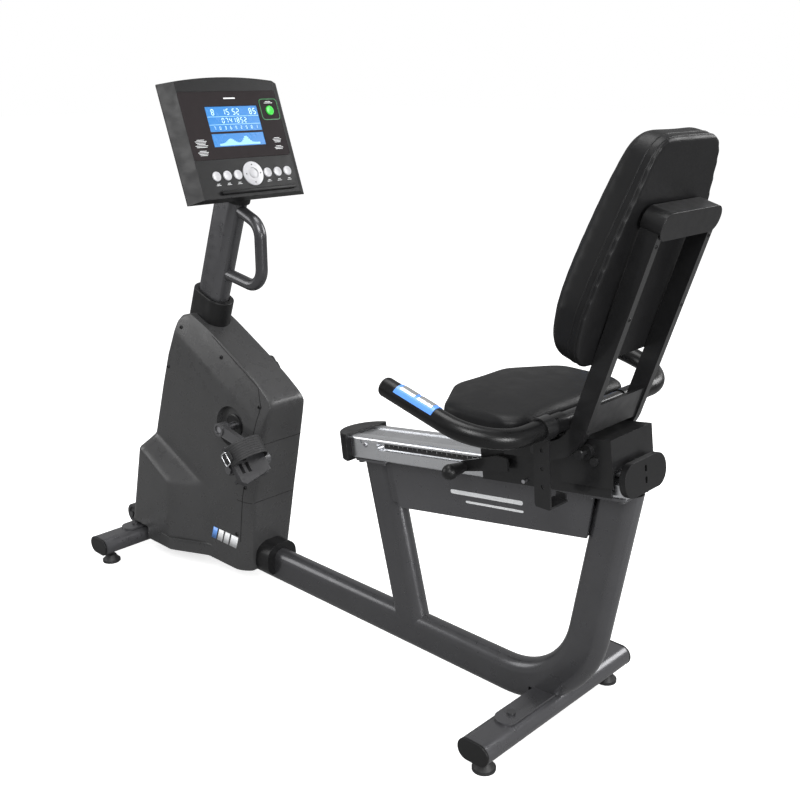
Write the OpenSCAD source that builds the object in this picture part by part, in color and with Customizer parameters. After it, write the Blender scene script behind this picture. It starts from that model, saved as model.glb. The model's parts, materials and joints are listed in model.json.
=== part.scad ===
// Recumbent exercise bike: a bent oval-tube frame with a drive housing, a console on a leaning post,
// and a seat with a padded back and hand rails that slides on an inclined rail.
// Heights are measured from the floor. Positions along the bike are measured from the rear
// stabiliser, forward being negative, and place() moves the origin to the middle of the footprint.
// The rider's left is -Y.

/* [Frame] */
// Distance from the front stabiliser to the rear one
wheelbase = 1335; // [1315:1:1355]
// Length of each stabiliser without its end caps
stabiliser_length = 496; // [460:1:540]
// Width of the oval frame tube
tube_width = 50; // [48:1:52]
// Depth of the oval frame tube
tube_depth = 88; // [80:1:92]
// Centreline radius of the bend at the rear of the frame
frame_bend = 200; // [180:1:220]
// Lean of the rear upright, in degrees
upright_lean = 9.2; // [8:0.1:10]
// Wall thickness of the frame tubes
tube_wall = 3; // [2:0.5:4]

/* [Rail] */
// Length of the seat rail
rail_length = 712; // [700:1:716]
// Width of the seat rail
rail_width = 105; // [103:1:106]
// Height of the seat rail's section
rail_height = 52; // [50:1:54]
// Slope of the seat rail, in degrees
rail_slope = 8; // [8:0.1:8]

/* [Seat] */
// Width of the seat cushion
seat_width = 388; // [360:1:410]
// Length of the seat cushion, nose to rear edge
seat_length = 251; // [245:1:255]
// Thickness of the seat cushion
seat_thickness = 46; // [40:1:50]
// Height of the top of the seat cushion
seat_top = 720; // [716:1:724]
// Length of the back cushion along its slope
back_length = 411; // [400:1:420]
// Thickness of the back cushion
back_thickness = 60; // [50:1:64]
// Recline of the back, in degrees from upright
back_recline = 16.2; // [16:0.1:16.5]
// Distance between the centrelines of the two hand rails
handrail_spread = 606; // [580:1:620]
// Diameter of the hand rail tube
handrail_tube = 32; // [30:1:32]

/* [Drive] */
// Length of a crank arm between its centres
crank_length = 172; // [165:0.5:175]
// Radius of the drive pulley
pulley_r = 96; // [92:1:98]
// Radius of the flywheel
flywheel_r = 95; // [85:1:96]
// Radius of the small pulley on the flywheel
small_pulley_r = 24; // [22:1:26]

/* [Console] */
// Width of the console
console_width = 352; // [340:1:360]
// Height of the console along its face
console_height = 282; // [276:1:290]
// Travel of the console's buttons
button_travel = 1.5; // [1:0.1:2]

/* [Hidden] */
$fn = 64;

gap = 0.3;                       // clearance between neighbouring fixed parts
slim = 0.2;                      // how much thinner the straights of a bent tube are than its bends
run_in = 2;                      // length of a straight inside a bend
running = 0.05;                  // radial running clearance of a shaft in its bore
front_reach = wheelbase + 95;    // foremost point, the transport wheels
front_x = -wheelbase;            // centre of the front stabiliser

// Stabilisers and feet
stab_w = 75;
stab_h = 46;
stab_z = 33;                     // underside of a stabiliser
foot_y = 216;
foot_r = 24;
saddle_t = 5;                    // thickness of the saddle plates
saddle_y = 172;                  // half-length of a saddle plate
base_z = 75;                     // centre height of the base tube
saddle_bolt_y = 133;

// Seat rail, in its own frame: along the rail from its front end, and up from its top face
rail_x = -536;
rail_z = 520;
mount_t = 6;                     // mount plates between the frame and the rail
slot_start = 92;
slot_h = 16.6;
slot_depth = 9;
slot_mid = -17;
mount_s = [50, 662];             // middles of the front and rear mount plates
mount_bolts = [34, 38];          // half-spacing of a mount plate's bolts

// Drive
crank_x = front_x + 387;
crank_z = 450;
crank_drop = 11.2;               // angle of the left crank arm below the horizontal
fly_x = front_x + 172;
fly_z = 205;
axle_r = 10;
arm_bore_r = 8;
bearing_r = 20;
belt_y = [43, 53];
arm_y = 104;                     // centre of a crank arm
arm_t = 14;
spindle_r = 7;
pedal_tilt = 48.6;               // slope of the pedal's tread
spindle_end = 212;

// Post and console
post_lean = 20.1;
post_x = front_x + 245;          // post axis where post_z is its height
post_z = 752;
post_w = 52;
post_d = 94;
post_length = 540;
post_bolts = [45, 100];          // heights of the bolts through the foot of the post
collar_w = 70;
collar_d = 124;
console_tilt = 20;
console_x = front_x + 380.3;     // middle of the console's face
console_z = 1150.2;

// Carriage, along the rail and up from the rail's top face
box_s = [587, 700];
box_h = [-28, 62];
ext_s = [392, 690];
ext_h = [-48, 14];
carriage_bolts = [552, 650];     // bolts through the back frame's lower runs, at bolt_h
bolt_h = 38;
carriage_in = 58;                // half-distance between the inner faces of its side plates
roller_s = [430, 668];
roller_r = 8;
seat_base = seat_top - seat_thickness - 2;
pan_t = 18;

// Back frame
back_bar = 35;                   // depth of the flat upright bars
back_bar_t = 16;
back_bar_y = 79;                 // inner face of a bar
back_foot_x = 148.6;             // centreline of a bar where its height is back_foot_z
back_foot_z = 851;
bar_lean = 16.7;                 // lean of the bars
cap_x = 215;                     // middle of the cap on the bars
cap_z = 1069;
cap_depth = 40;
cap_height = 48;
cap_play = 1.3;                  // room round the bars in the cap's socket
cushion_foot_x = 112.8;          // rear face of the back cushion where its height is cushion_foot_z
cushion_foot_z = 810;

// Hand rails
grip_r = 18.5;
bar_x = 60;
bar_z = 701;
bar_rise = 14.5;                 // slope of the forward runs
bar_bend = 100;
bar_reach = 246;                 // forward run, from the cross tube to the grip's end
grip_inner = 96.5;                 // half-width of the bare part of the cross tube

// Rearmost point, the upper edge of the cap on the back frame
rear_reach = cap_x + cap_depth / 2 * cos(bar_lean) + cap_height / 2 * sin(bar_lean);

charcoal = [0.29, 0.29, 0.31];
dark_grey = [0.25, 0.25, 0.27];
black = [0.07, 0.07, 0.08];
vinyl = [0.11, 0.11, 0.12];
silver = [0.78, 0.79, 0.81];
steel = [0.6, 0.6, 0.62];

// ---------- helpers ----------

// Moves a part from the rear stabiliser's origin to the middle of the footprint
module place() translate([(front_reach - rear_reach) / 2, 0, 0]) children();

// A copy on each side of the bike
module both() {
    children();
    mirror([0, 1, 0]) children();
}

// Plate cut to a side-view outline, from y0 to y1
module slab(y0, y1) translate([0, y1, 0]) rotate([90, 0, 0]) linear_extrude(y1 - y0) children();

// Round bar across the bike
module cross_rod(x, z, y0, y1, r) translate([x, y0, z]) rotate([-90, 0, 0]) cylinder(h = y1 - y0, r = r);

// Extrudes a Y-Z section forward along +X
module along(length) rotate([90, 0, 90]) linear_extrude(length) children();

// Flat oval, rounded across its first size
module oval(w, d) {
    square([w, d - w], center = true);
    for (e = [-1, 1]) translate([0, e * (d - w) / 2]) circle(d = w);
}

// Rectangle with rounded corners
module round_rect(w, h, r) {
    square([w, h - 2 * r], center = true);
    square([w - 2 * r, h], center = true);
    for (i = [-1, 1], j = [-1, 1]) translate([i * (w / 2 - r), j * (h / 2 - r)]) circle(r);
}

function heading(a, b) = atan2(b[1] - a[1], b[0] - a[0]);
function wrap(a) = a > 180 ? a - 360 : a < -180 ? a + 360 : a;
function turn(p, i) = wrap(heading(p[i], p[i + 1]) - heading(p[i - 1], p[i]));
function trim(p, i, r) = i == 0 || i == len(p) - 1 ? 0 : r * tan(abs(turn(p, i)) / 2);

// Sweeps a symmetric section along a flat path with rounded corners. The first child is the section of
// the straights and the second that of the bends, which is a little larger, so straights end inside bends.
module sweep(p, r) {
    for (i = [0 : len(p) - 2]) {
        a = heading(p[i], p[i + 1]);
        start = i == 0 ? 0 : trim(p, i, r) - run_in;
        end = i == len(p) - 2 ? 0 : trim(p, i + 1, r) - run_in;
        straight = norm(p[i + 1] - p[i]) - start - end;
        translate(p[i]) rotate(a) translate([start, 0]) along(straight) children(0);
    }
    for (i = [1 : 1 : len(p) - 2]) {
        a = heading(p[i - 1], p[i]);
        d = turn(p, i);
        side = d > 0 ? 1 : -1;
        translate(p[i]) rotate(a) translate([-trim(p, i, r), side * r]) rotate(d > 0 ? -90 : 90 + d)
            rotate_extrude(angle = abs(d)) translate([r, 0]) children(1);
    }
}

// Turns a flat path into the bike's side plane
module side_plane() rotate([90, 0, 0]) children();

// The rail's own frame
module on_rail() translate([rail_x, 0, rail_z]) rotate([0, -rail_slope, 0]) children();

// The console's frame: X out of the face towards the rider, Y across, Z up the face
module on_console() translate([console_x, 0, console_z]) rotate([0, -console_tilt, 0]) children();

// The back's frame: Z up the slope, X rearward
module on_back(x, z) translate([x, 0, z]) rotate([0, back_recline, 0]) children();

// Bolt along Y with a button head at y, its shank running inward by length
module side_bolt(x, z, y, length, r, head_r) {
    cross_rod(x, z, y - length, y, r);
    cross_rod(x, z, y, y + 5, head_r);
}

// ---------- frame ----------

upright_foot = [95 - 225 * tan(upright_lean), base_z];
upright_top = [upright_foot[0] + 520 * sin(upright_lean), base_z + 520 * cos(upright_lean)];
strut_foot = [-382.4, base_z];
strut_top = [-382.4 - 450 * sin(14.9), base_z + 450 * cos(14.9)];
frame_front = front_x - 34;

// Everything above the underside of the rail's mount plates
module above_rail() on_rail() translate([-300, -200, -rail_height - mount_t]) cube([1400, 400, 300]);

module frame_tubes(w, d, front) {
    side_plane() sweep([[front, base_z], upright_foot, upright_top], frame_bend) {
        oval_flat(w - slim, d - slim);
        oval_flat(w, d);
    }
    side_plane() sweep([strut_foot, strut_top], 1) oval_flat(w - slim, d - slim);
}

// The oval with its long side in the plane of the path
module oval_flat(w, d) rotate(90) oval(w, d);

// Side plate inside the drive housing, which carries the crank, the flywheel and the post
plate_y = [tube_width / 2 + 0.2, tube_width / 2 + 5.2];
module drive_plate() translate([front_x, 0, 0]) {
    slab(plate_y[0], plate_y[1]) polygon([[110, 60], [395, 60], [425, 430], [405, 482], [345, 500],
        [290, 650], [165, 630], [120, 280]]);
    // Weld along the flat side of the base tube
    slab(tube_width / 2 - 0.4, plate_y[1] - 1) polygon([[112, 62], [394, 62], [394, 90], [112, 90]]);
}

// Plates on both sides of the frame under the rail, joined to the two tubes by a web at each end
module gusset() {
    web_y = tube_width / 2 - 0.4;
    both() slab(web_y, web_y + 4.4)
        polygon([[-440, 492], [-411, 384], [-407, 378], [-400, 377], [84, 456], [97, 559]]);
    slab(-web_y - 0.2, web_y + 0.2) polygon([[-430, 383], [-408, 383], [-432, 490], [-456, 490]]);
    slab(-web_y - 0.2, web_y + 0.2) polygon([[60, 454], [82, 458], [94, 558], [76, 558]]);
}

module saddle(x) translate([x, 0, stab_z + stab_h + gap]) linear_extrude(saddle_t) difference() {
    oval(48, 2 * saddle_y);
    both() translate([0, saddle_bolt_y]) circle(5.3);
}

module stabiliser_section(extra)
    round_rect(stab_w + 2 * extra, stab_h + 2 * extra, stab_h / 2 - 0.2 + extra);

// The base tube is notched from below over a stabiliser
module stabiliser_space(x) translate([x - stab_w / 2 - gap, -300, 0])
    cube([stab_w + 2 * gap, 600, stab_z + stab_h + gap]);

module mount_bolt_places() for (s = mount_s, i = [-1, 1], j = [-1, 1])
    translate([s + i * mount_bolts[0], j * mount_bolts[1], -rail_height]) children();

module rail_mounts() on_rail() difference() {
    for (s = mount_s) translate([s, 0, -rail_height - mount_t]) linear_extrude(mount_t - gap)
        round_rect(96, 98, 10);
    mount_bolt_places() cylinder(h = 30, r = 4.3, center = true);
}

// Bracket that holds a transport wheel ahead of the front stabiliser
module wheel_bracket() slab(wheel_y - 18, wheel_y - 14) difference() {
    polygon([[wheel_x - 10, wheel_z + 6], [wheel_x, wheel_z + 13], [front_x + 12, wheel_z + 11],
        [front_x + 12, stab_z + stab_h + saddle_t], [front_x - 24, stab_z + stab_h + saddle_t],
        [wheel_x - 4, wheel_z - 10]]);
    translate([wheel_x, wheel_z]) circle(5.3);
}

module main_frame() place() color(charcoal) {
    difference() {
        union() {
            difference() {
                union() {
                    frame_tubes(tube_width, tube_depth, frame_front);
                    gusset();
                }
                above_rail();
            }
            both() drive_plate();
            cross_rod(crank_x, crank_z, -41, 41, bearing_r + 4.5);
        }
        frame_tubes(tube_width - 2 * tube_wall, tube_depth - 2 * tube_wall, frame_front - 1);
        stabiliser_space(front_x);
        stabiliser_space(0);
        cross_rod(crank_x, crank_z, -50, 50, bearing_r);
        both() cross_rod(fly_x, fly_z, 20, 40, axle_r + running);
        for (k = post_bolts) post_bolt_line(k, 40, 5.3);
    }
    difference() {
        union() {
            saddle(front_x);
            saddle(0);
        }
        frame_tubes(tube_width - 2 * tube_wall, tube_depth - 2 * tube_wall, frame_front - 1);
    }
    both() wheel_bracket();
    rail_mounts();
}

module stabiliser(x) difference() {
    translate([x, stabiliser_length / 2, stab_z + stab_h / 2]) rotate([90, 0, 0])
        linear_extrude(stabiliser_length) difference() {
            stabiliser_section(0);
            stabiliser_section(-tube_wall);
        }
    both() {
        translate([x, foot_y, stab_z - 1]) cylinder(h = 10, r = 5 + running);
        translate([x, saddle_bolt_y, stab_z + stab_h - 10]) cylinder(h = 20, r = 5.3);
    }
}

module front_stabiliser() place() color(charcoal) stabiliser(front_x);

module rear_stabiliser() place() color(charcoal) stabiliser(0);

module stabiliser_end_caps() place() color(black) for (x = [front_x, 0]) both()
    translate([x, stabiliser_length / 2, stab_z + stab_h / 2]) rotate([-90, 0, 0]) {
        linear_extrude(6) stabiliser_section(0.5);
        translate([0, 0, -14]) linear_extrude(14.5) stabiliser_section(-tube_wall - gap);
    }

module levelling_feet() place() color(steel) for (x = [front_x, 0]) both() translate([x, foot_y, 0]) {
    cylinder(h = 6, r = foot_r);
    translate([0, 0, 6]) cylinder(h = 14, r1 = foot_r - 2, r2 = 13);
    cylinder(h = 52, r = 5);
    translate([0, 0, stab_z - 8]) cylinder(h = 7.5, r = 9, $fn = 6);
}

// Centre line of a bolt through the drive plates and the post, k up from the post's foot
function post_at(k) = [post_x - (post_z - 520) * tan(post_lean) + k * sin(post_lean),
    520 + k * cos(post_lean)];

module post_bolt_line(k, reach, r) cross_rod(post_at(k)[0], post_at(k)[1], -reach, reach, r);

wheel_x = front_x - 67;
wheel_z = 84;
wheel_y = 85;

module frame_bolts() place() color(steel) {
    for (x = [front_x, 0]) both() translate([x, saddle_bolt_y, stab_z + stab_h + gap + saddle_t]) {
        translate([0, 0, 0.1]) cylinder(h = 5, r = 9);
        translate([0, 0, -12]) cylinder(h = 12.2, r = 5);
    }
    on_rail() mount_bolt_places() {
        translate([0, 0, -mount_t - 5.1]) cylinder(h = 5, r = 7.5);
        translate([0, 0, -mount_t - 0.2]) cylinder(h = 12, r = 4);
    }
    for (k = post_bolts) {
        post_bolt_line(k, plate_y[1] + 3, 5);
        both() cross_rod(post_at(k)[0], post_at(k)[1], plate_y[1] + 0.3, plate_y[1] + 6, 9);
    }
    both() {
        cross_rod(wheel_x, wheel_z, wheel_y - 22, wheel_y + 13, 5);
        cross_rod(wheel_x, wheel_z, wheel_y - 22, wheel_y - 18.2, 8);
        cross_rod(wheel_x, wheel_z, wheel_y + 13, wheel_y + 18, 8);
    }
}

module transport_wheel() difference() {
    cross_rod(wheel_x, wheel_z, wheel_y - 11, wheel_y + 11, 28);
    cross_rod(wheel_x, wheel_z, wheel_y - 20, wheel_y + 20, 5 + running);
    for (e = [-1, 1]) translate([0, e * 10, 0]) difference() {
        cross_rod(wheel_x, wheel_z, wheel_y - 4, wheel_y + 4, 19);
        cross_rod(wheel_x, wheel_z, wheel_y - 5, wheel_y + 5, 10);
    }
}

module left_transport_wheel() place() color(dark_grey) mirror([0, 1, 0]) transport_wheel();

module right_transport_wheel() place() color(dark_grey) transport_wheel();

// ---------- drive housing ----------

cover_t = 3;
cover_half = 79;                 // half-width of the housing at its base
bulge_half = 128;                // half-width of the flared part over the flywheel
dish_r = 52;
ridge = [212, 724];              // a point on the line just above the ridge, from front_x
ridge_slope = 29.7;
rear_lean = 11.5;                // slope of the housing's rear edge
boot_w = 96;
boot_h = 87;
boot_z = 91.5;                   // centre height of the boot
boot_d = [404, 481];             // ends of the boot, from front_x

// Side outline of the housing, its foot at height z
module housing_outline(z) translate([front_x, 0]) polygon([[152, 662], [160, 684], [176, 702],
    [212, 710], [272, 684], [330, 654], [400, 616], [468, 573], [503, 547], [518, 533], [522, 520],
    [510, 469], [458, 270], [427, z], [-38, z], [-33, 66], [25, 320], [53, 370]]);

// Section square to the ridge: flat on top, with sides that widen downward
ridge_side = [[49, 0], [57, -30], [69, -80], [77, -150], [cover_half, -240], [cover_half, -1200]];
module ridge_section() polygon(concat(ridge_side,
    [for (i = [len(ridge_side) - 1 : -1 : 0]) [-ridge_side[i][0], ridge_side[i][1]]]));

// The flared part: a wide foot whose top slopes up to the housing's side
module flare(inset, z) {
    hull() for (e = [-1, 1]) {
        for (p = [[-38, 70], [163, 255]]) flare_point(p[0], e * (bulge_half - inset), z, inset);
        flare_point(288, e * 70, z, inset);
        flare_point(-33, e * (bulge_half - inset), 75, inset);
        flare_point(40, e * (bulge_half - 4 - inset), 322 - inset, inset);
        flare_point(172, e * (bulge_half - inset), 255 - inset, inset);
        flare_point(53, e * 74, 362 - inset, inset);
        flare_point(275, e * 72, 258 - inset, inset);
    }
}

module flare_point(d, y, z, inset) translate([front_x + d + (d < 100 ? inset : -inset), y, z]) cube(0.1);

module housing(inset, z) {
    intersection() {
        slab(-200, 200) offset(delta = -inset) housing_outline(z);
        translate([front_x + ridge[0], 0, ridge[1]]) rotate([0, ridge_slope, 0]) translate([-600, 0, 0])
            along(1200) offset(delta = -inset) ridge_section();
        translate([front_x + 437, 0, 55]) rotate([0, rear_lean, 0]) translate([-450, 0, -200])
            linear_extrude(1200) round_rect(900 - 2 * inset, 2 * (cover_half - inset), 55 - inset);
    }
    flare(inset, z);
}

// Half of the housing: the half with y above zero
module cover_half_shell() difference() {
    union() {
        difference() {
            housing(0, 55);
            housing(cover_t, 20);
        }
        intersection() {
            cross_rod(crank_x, crank_z, 57.5, cover_half, dish_r + 3);
            housing(0, 55);
        }
    }
    translate([-3000, -500 + gap / 2, -10]) cube([4000, 500, 1400]);
    cross_rod(crank_x, crank_z, 60, cover_half + 20, dish_r);
    cross_rod(crank_x, crank_z, 0, 70, 23);
    collar_space();
    boot_space();
    // Notch over the front stabiliser, and room for the transport wheel
    translate([front_x - 60, -200, 0]) cube([100, 400, stab_z + stab_h + saddle_t + 8]);
    translate([wheel_x - 40, wheel_y - 20, 0]) cube([86, 40, wheel_z + 34]);
    // Room for the front end of the base tube
    translate([front_x - 60, 0, base_z]) along(120) oval(tube_width + 2 * gap, tube_depth + 2 * gap);
    for (p = cover_screw_places) cross_rod(front_x + p[0], p[1], 20, 200, 2.3);
}

cover_screw_places = [[185, 672], [340, 618], [488, 520], [440, 300], [398, 160], [135, 560]];
function screw_seat(p) = p[1] > 660 ? 54 : p[1] > 600 ? 56 : p[1] > 500 ? 60 : 68;

module collar_space() translate([post_x, 0, post_z]) rotate([0, post_lean, 0])
    translate([0, 0, -80]) linear_extrude(220) rotate(90) oval(collar_w + 2 * gap, collar_d + 2 * gap);

module boot_space() translate([front_x + boot_d[0] - 2, 0, boot_z]) along(200)
    round_rect(boot_w + 2 * gap, boot_h + 2 * gap, 36 + gap);

module left_cover() place() color(dark_grey) mirror([0, 1, 0]) cover_half_shell();

module right_cover() place() color(dark_grey) cover_half_shell();

module cover_screws() place() color(black) for (p = cover_screw_places) both()
    cross_rod(front_x + p[0], p[1], screw_seat(p) - 26, screw_seat(p) - 6, 2);

// Sleeve round the base tube where it leaves the housing, open below
module tube_boot() place() color(black) translate([front_x + boot_d[0], 0, 0]) along(boot_d[1] - boot_d[0])
    difference() {
        translate([0, boot_z]) round_rect(boot_w, boot_h, 36);
        translate([0, base_z]) oval(tube_width + 2 * gap, tube_depth + 2 * gap);
        translate([-60, boot_z - boot_h / 2 - 1]) square([120, 8]);
    }

module post_collar() place() color(black) translate([post_x, 0, post_z]) rotate([0, post_lean, 0])
    difference() {
        translate([0, 0, -72]) linear_extrude(82) rotate(90) oval(collar_w, collar_d);
        translate([0, 0, -90]) linear_extrude(120) rotate(90) oval(post_w + 2 * gap, post_d + 2 * gap);
    }

// The post's own frame: Z up along the post from its foot
module on_post() translate([post_at(0)[0], 0, post_at(0)[1]]) rotate([0, post_lean, 0]) children();

module console_post() place() color(charcoal) difference() {
    union() {
        on_post() linear_extrude(post_length) rotate(90) oval(post_w, post_d);
        // Grab handle
        side_plane() sweep([[front_x + 355, 988], [front_x + 444, 952], [front_x + 444, 795],
            [front_x + 290, 822]], 44) {
                circle(15 - slim / 2);
                circle(15);
            }
    }
    on_post() translate([0, 0, -1]) linear_extrude(post_length + 2) rotate(90) oval(post_w - 6, post_d - 6);
    // Flats that fit between the drive plates
    on_post() both() translate([-60, tube_width / 2 + 0.1, -10]) cube([120, 20, 170]);
    for (k = post_bolts) post_bolt_line(k, 60, 5.3);
}

// ---------- console ----------

panel_t = 1.2;
face_top = console_height / 2;
control_y = 13;                  // the control button, between the two rows of three keys
button_places = [for (k = [-3, -2, -1, 1, 2, 3]) control_y + k * 31 + 14 * sign(k)];
button_row = -84.5;
button_r = 11.5;
control_r = 29;
start_place = [114, 66];

// Housing outline across the face, arched along its top
module console_outline(w, h) {
    translate([-w / 2, -h / 2]) square([w, h]);
    intersection() {
        translate([-w / 2, 0]) square([w, h]);
        translate([0, h / 2 - 1100]) circle(1112, $fn = 360);
    }
}

// Hole for a push button, with its running clearance
module button_hole(y, z, r) translate([-12, y, z]) rotate([0, 90, 0]) cylinder(h = 20, r = r + 0.2);

module console_housing() place() color(black) on_console() difference() {
    hull() {
        translate([-26, 0, 0]) along(2) console_outline(console_width, console_height);
        translate([-2, 0, 0]) along(2) console_outline(console_width - 64, console_height - 8);
    }
    translate([-24, 0, 0]) along(14) console_outline(console_width - 60, console_height - 26);
    translate([-panel_t, 0, 35]) along(10) round_rect(286.6, 160.6, 8);
    translate([-8, 0, 31.7]) along(10) square([155, 97], center = true);
    for (y = button_places) button_hole(y, button_row, button_r);
    button_hole(control_y, button_row, control_r);
    button_hole(start_place[0], start_place[1], button_r);
}

module console_back() place() color(black) on_console() difference() {
    union() {
        hull() {
            translate([-28, 0, 0]) along(1.8) console_outline(console_width - 1, console_height - 1);
            translate([-62, 0, -10]) along(2) round_rect(console_width - 90, console_height - 80, 30);
        }
        // Socket round the top of the post
        from_post() translate([0, 0, 524]) linear_extrude(22) rotate(90) oval(post_w + 12, post_d + 12);
    }
    translate([-54, 0, 0]) along(40) round_rect(console_width - 100, console_height - 90, 20);
    post_space();
}

// The post's frame seen from inside the console's frame
module from_post() rotate([0, console_tilt, 0]) translate([-console_x, 0, -console_z]) on_post() children();

module post_space() from_post() linear_extrude(post_length + 1) rotate(90) oval(post_w + 1, post_d + 1);

module console_panel() place() color([0.12, 0.11, 0.12]) on_console() difference() {
    translate([gap - panel_t, 0, 35]) along(panel_t) round_rect(286, 160, 8);
    translate([-5, 0, 31.7]) along(10) square([154, 96], center = true);
    button_hole(start_place[0], start_place[1], button_r);
}

module lcd_display() place() color([0.2, 0.5, 0.8]) on_console() translate([-7, 0, 31.7])
    along(6) square([153, 95], center = true);

// Push button at y across and z up the console's face
module push_button(y, z, r, proud) on_console() translate([-8, y, z]) rotate([0, 90, 0]) {
    cylinder(h = 8 + proud - 1, r = r);
    cylinder(h = 8 + proud, r = r - 1);
}

module start_button() place() color([0.15, 0.75, 0.25])
    push_button(start_place[0], start_place[1], button_r, 2.4);

module keypad_button(i) place() color(silver) push_button(button_places[i], button_row, button_r, 2.2);

module keypad_button_1() keypad_button(0);
module keypad_button_2() keypad_button(1);
module keypad_button_3() keypad_button(2);
module keypad_button_4() keypad_button(3);
module keypad_button_5() keypad_button(4);
module keypad_button_6() keypad_button(5);

module control_button() place() color(silver) push_button(control_y, button_row, control_r, 3);

// ---------- crank and flywheel ----------

module crank_bearings() place() color(steel) {
    both() difference() {
        cross_rod(crank_x, crank_z, 28, 40, bearing_r - 0.02);
        cross_rod(crank_x, crank_z, 20, 50, axle_r + running);
    }
}

// Shaft of the flywheel, with the small belt pulley turned on its end
module flywheel_axle() place() color(steel) {
    cross_rod(fly_x, fly_z, -60, 57, axle_r);
    cross_rod(fly_x, fly_z, plate_y[1] + 0.6, belt_y[0] + 0.5, 14);
    cross_rod(fly_x, fly_z, belt_y[0], belt_y[1], small_pulley_r);
}

module flywheel() place() color(steel) difference() {
    union() {
        cross_rod(fly_x, fly_z, -54, -34, flywheel_r);
        cross_rod(fly_x, fly_z, -56, -plate_y[1] - 0.6, 24);
    }
    cross_rod(fly_x, fly_z, -70, 0, axle_r + running);
    for (a = [0 : 60 : 300]) translate([fly_x, 0, fly_z]) rotate([0, a, 0]) translate([60, 0, 0])
        cross_rod(0, 0, -60, -30, 16);
}

// Band round two pulleys: circles joined by their outer tangents
module loop(r1, r2) {
    hull() {
        translate([crank_x, crank_z]) circle(r1, $fn = 96);
        translate([fly_x, fly_z]) circle(r2, $fn = 48);
    }
}

module drive_belt() place() color(black) slab(belt_y[0] + 1, belt_y[1] - 1) difference() {
    loop(pulley_r + 3.3, small_pulley_r + 3.3);
    loop(pulley_r + gap, small_pulley_r + gap);
}

module crank_axle() place() color(steel) {
    cross_rod(crank_x, crank_z, -arm_y + 16, arm_y - 16, axle_r);
    cross_rod(crank_x, crank_z, -arm_y - 6, arm_y + 6, arm_bore_r - running);
    cross_rod(crank_x, crank_z, 56, 57, 16);
    cross_rod(crank_x, crank_z, -57, -42, 16);
}

module drive_pulley() place() color(black) difference() {
    union() {
        cross_rod(crank_x, crank_z, belt_y[0], belt_y[1], pulley_r);
        cross_rod(crank_x, crank_z, belt_y[0] - 1, belt_y[1] + 1, 28);
    }
    cross_rod(crank_x, crank_z, 20, 80, axle_r + running);
    for (e = [0, 1]) translate([0, e * 8, 0]) difference() {
        cross_rod(crank_x, crank_z, belt_y[0] - 2, belt_y[0] + 4, pulley_r - 10);
        cross_rod(crank_x, crank_z, belt_y[0] - 3, belt_y[0] + 5, 36);
    }
    for (a = [0 : 60 : 300]) translate([crank_x, 0, crank_z]) rotate([0, a, 0])
        translate([68, 0, 0]) cross_rod(0, 0, 30, 70, 20);
}

// A crank arm that points rearward and down by the drop angle
module crank_arm() translate([crank_x, 0, crank_z]) rotate([0, crank_drop, 0]) difference() {
    union() {
        cross_rod(0, 0, arm_y - 16, arm_y + 9, 17);
        cross_rod(crank_length, 0, arm_y - 7, arm_y + 8, 15);
        slab(arm_y - 6, arm_y + 6) polygon([[0, 15], [crank_length, 12], [crank_length, -12], [0, -15]]);
    }
    cross_rod(0, 0, 0, arm_y + 20, arm_bore_r);
    cross_rod(0, 0, arm_y + 6.2, arm_y + 20, 12);
    cross_rod(crank_length, 0, 0, arm_y + 20, spindle_r + 0.02);
}

// Turns a left-hand part of the crank over to the right, half a turn on
module opposite() translate([crank_x, 0, crank_z]) rotate([0, 180, 0]) mirror([0, 1, 0])
    translate([-crank_x, 0, -crank_z]) mirror([0, 1, 0]) children();

module left_crank_arm() place() color(silver) mirror([0, 1, 0]) crank_arm();

module right_crank_arm() place() color(silver) opposite() crank_arm();

pedal_x = crank_x + crank_length * cos(crank_drop);
pedal_z = crank_z - crank_length * sin(crank_drop);
opposite_pedal_x = 2 * crank_x - pedal_x;
opposite_pedal_z = 2 * crank_z - pedal_z;

module spindle(x, z) {
    cross_rod(x, z, arm_y - 9, spindle_end, spindle_r);
    cross_rod(x, z, arm_y + 8.2, arm_y + 12, 10);
    cross_rod(x, z, spindle_end, spindle_end + 3, 10);
}

module pedal_spindles() place() color(silver) {
    mirror([0, 1, 0]) spindle(pedal_x, pedal_z);
    spindle(opposite_pedal_x, opposite_pedal_z);
}

pedal_in = arm_y + 14;           // inner end of a pedal
pedal_out = spindle_end - 2;

// Pedal in its own frame: X towards the heel, Z out of the tread, spindle along Y at the origin
module pedal_body() difference() {
    union() {
        cross_rod(0, 0, pedal_in, pedal_out, 15);
        translate([0, 0, 8]) linear_extrude(14)
            polygon([[-44, pedal_in], [34, pedal_in], [52, pedal_out - 12], [44, pedal_out],
                [-50, pedal_out]]);
        for (x = [-38, 30]) translate([x, pedal_in, -6]) cube([8, pedal_out - pedal_in, 15]);
    }
    cross_rod(0, 0, 0, 300, spindle_r + running);
    for (x = [-30, 0]) translate([x, pedal_in + 52, -30]) cube([26, 9, 80]);
    for (x = [-30, 0]) translate([x, pedal_in + 70, -30]) cube([26, 9, 80]);
}

module at_left_pedal() translate([pedal_x, 0, pedal_z]) mirror([0, 1, 0]) rotate([0, pedal_tilt, 0])
    children();

module at_right_pedal() translate([opposite_pedal_x, 0, opposite_pedal_z]) rotate([0, pedal_tilt, 0])
    children();

// Strap arched over the toe end of the tread
module strap() translate([-44, (pedal_in + pedal_out) / 2 + 1, 22.3]) along(46) difference() {
    arch(50, 44);
    arch(46.5, 40.5);
}

// Upper half of a long round-ended shape: half its width, and its height
module arch(half, h) intersection() {
    oval_across(2 * half, 2 * h);
    translate([-half, 0]) square([2 * half, h + 1]);
}

module oval_across(w, h) {
    square([w - h, h], center = true);
    for (e = [-1, 1]) translate([e * (w - h) / 2, 0]) circle(d = h);
}

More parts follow.
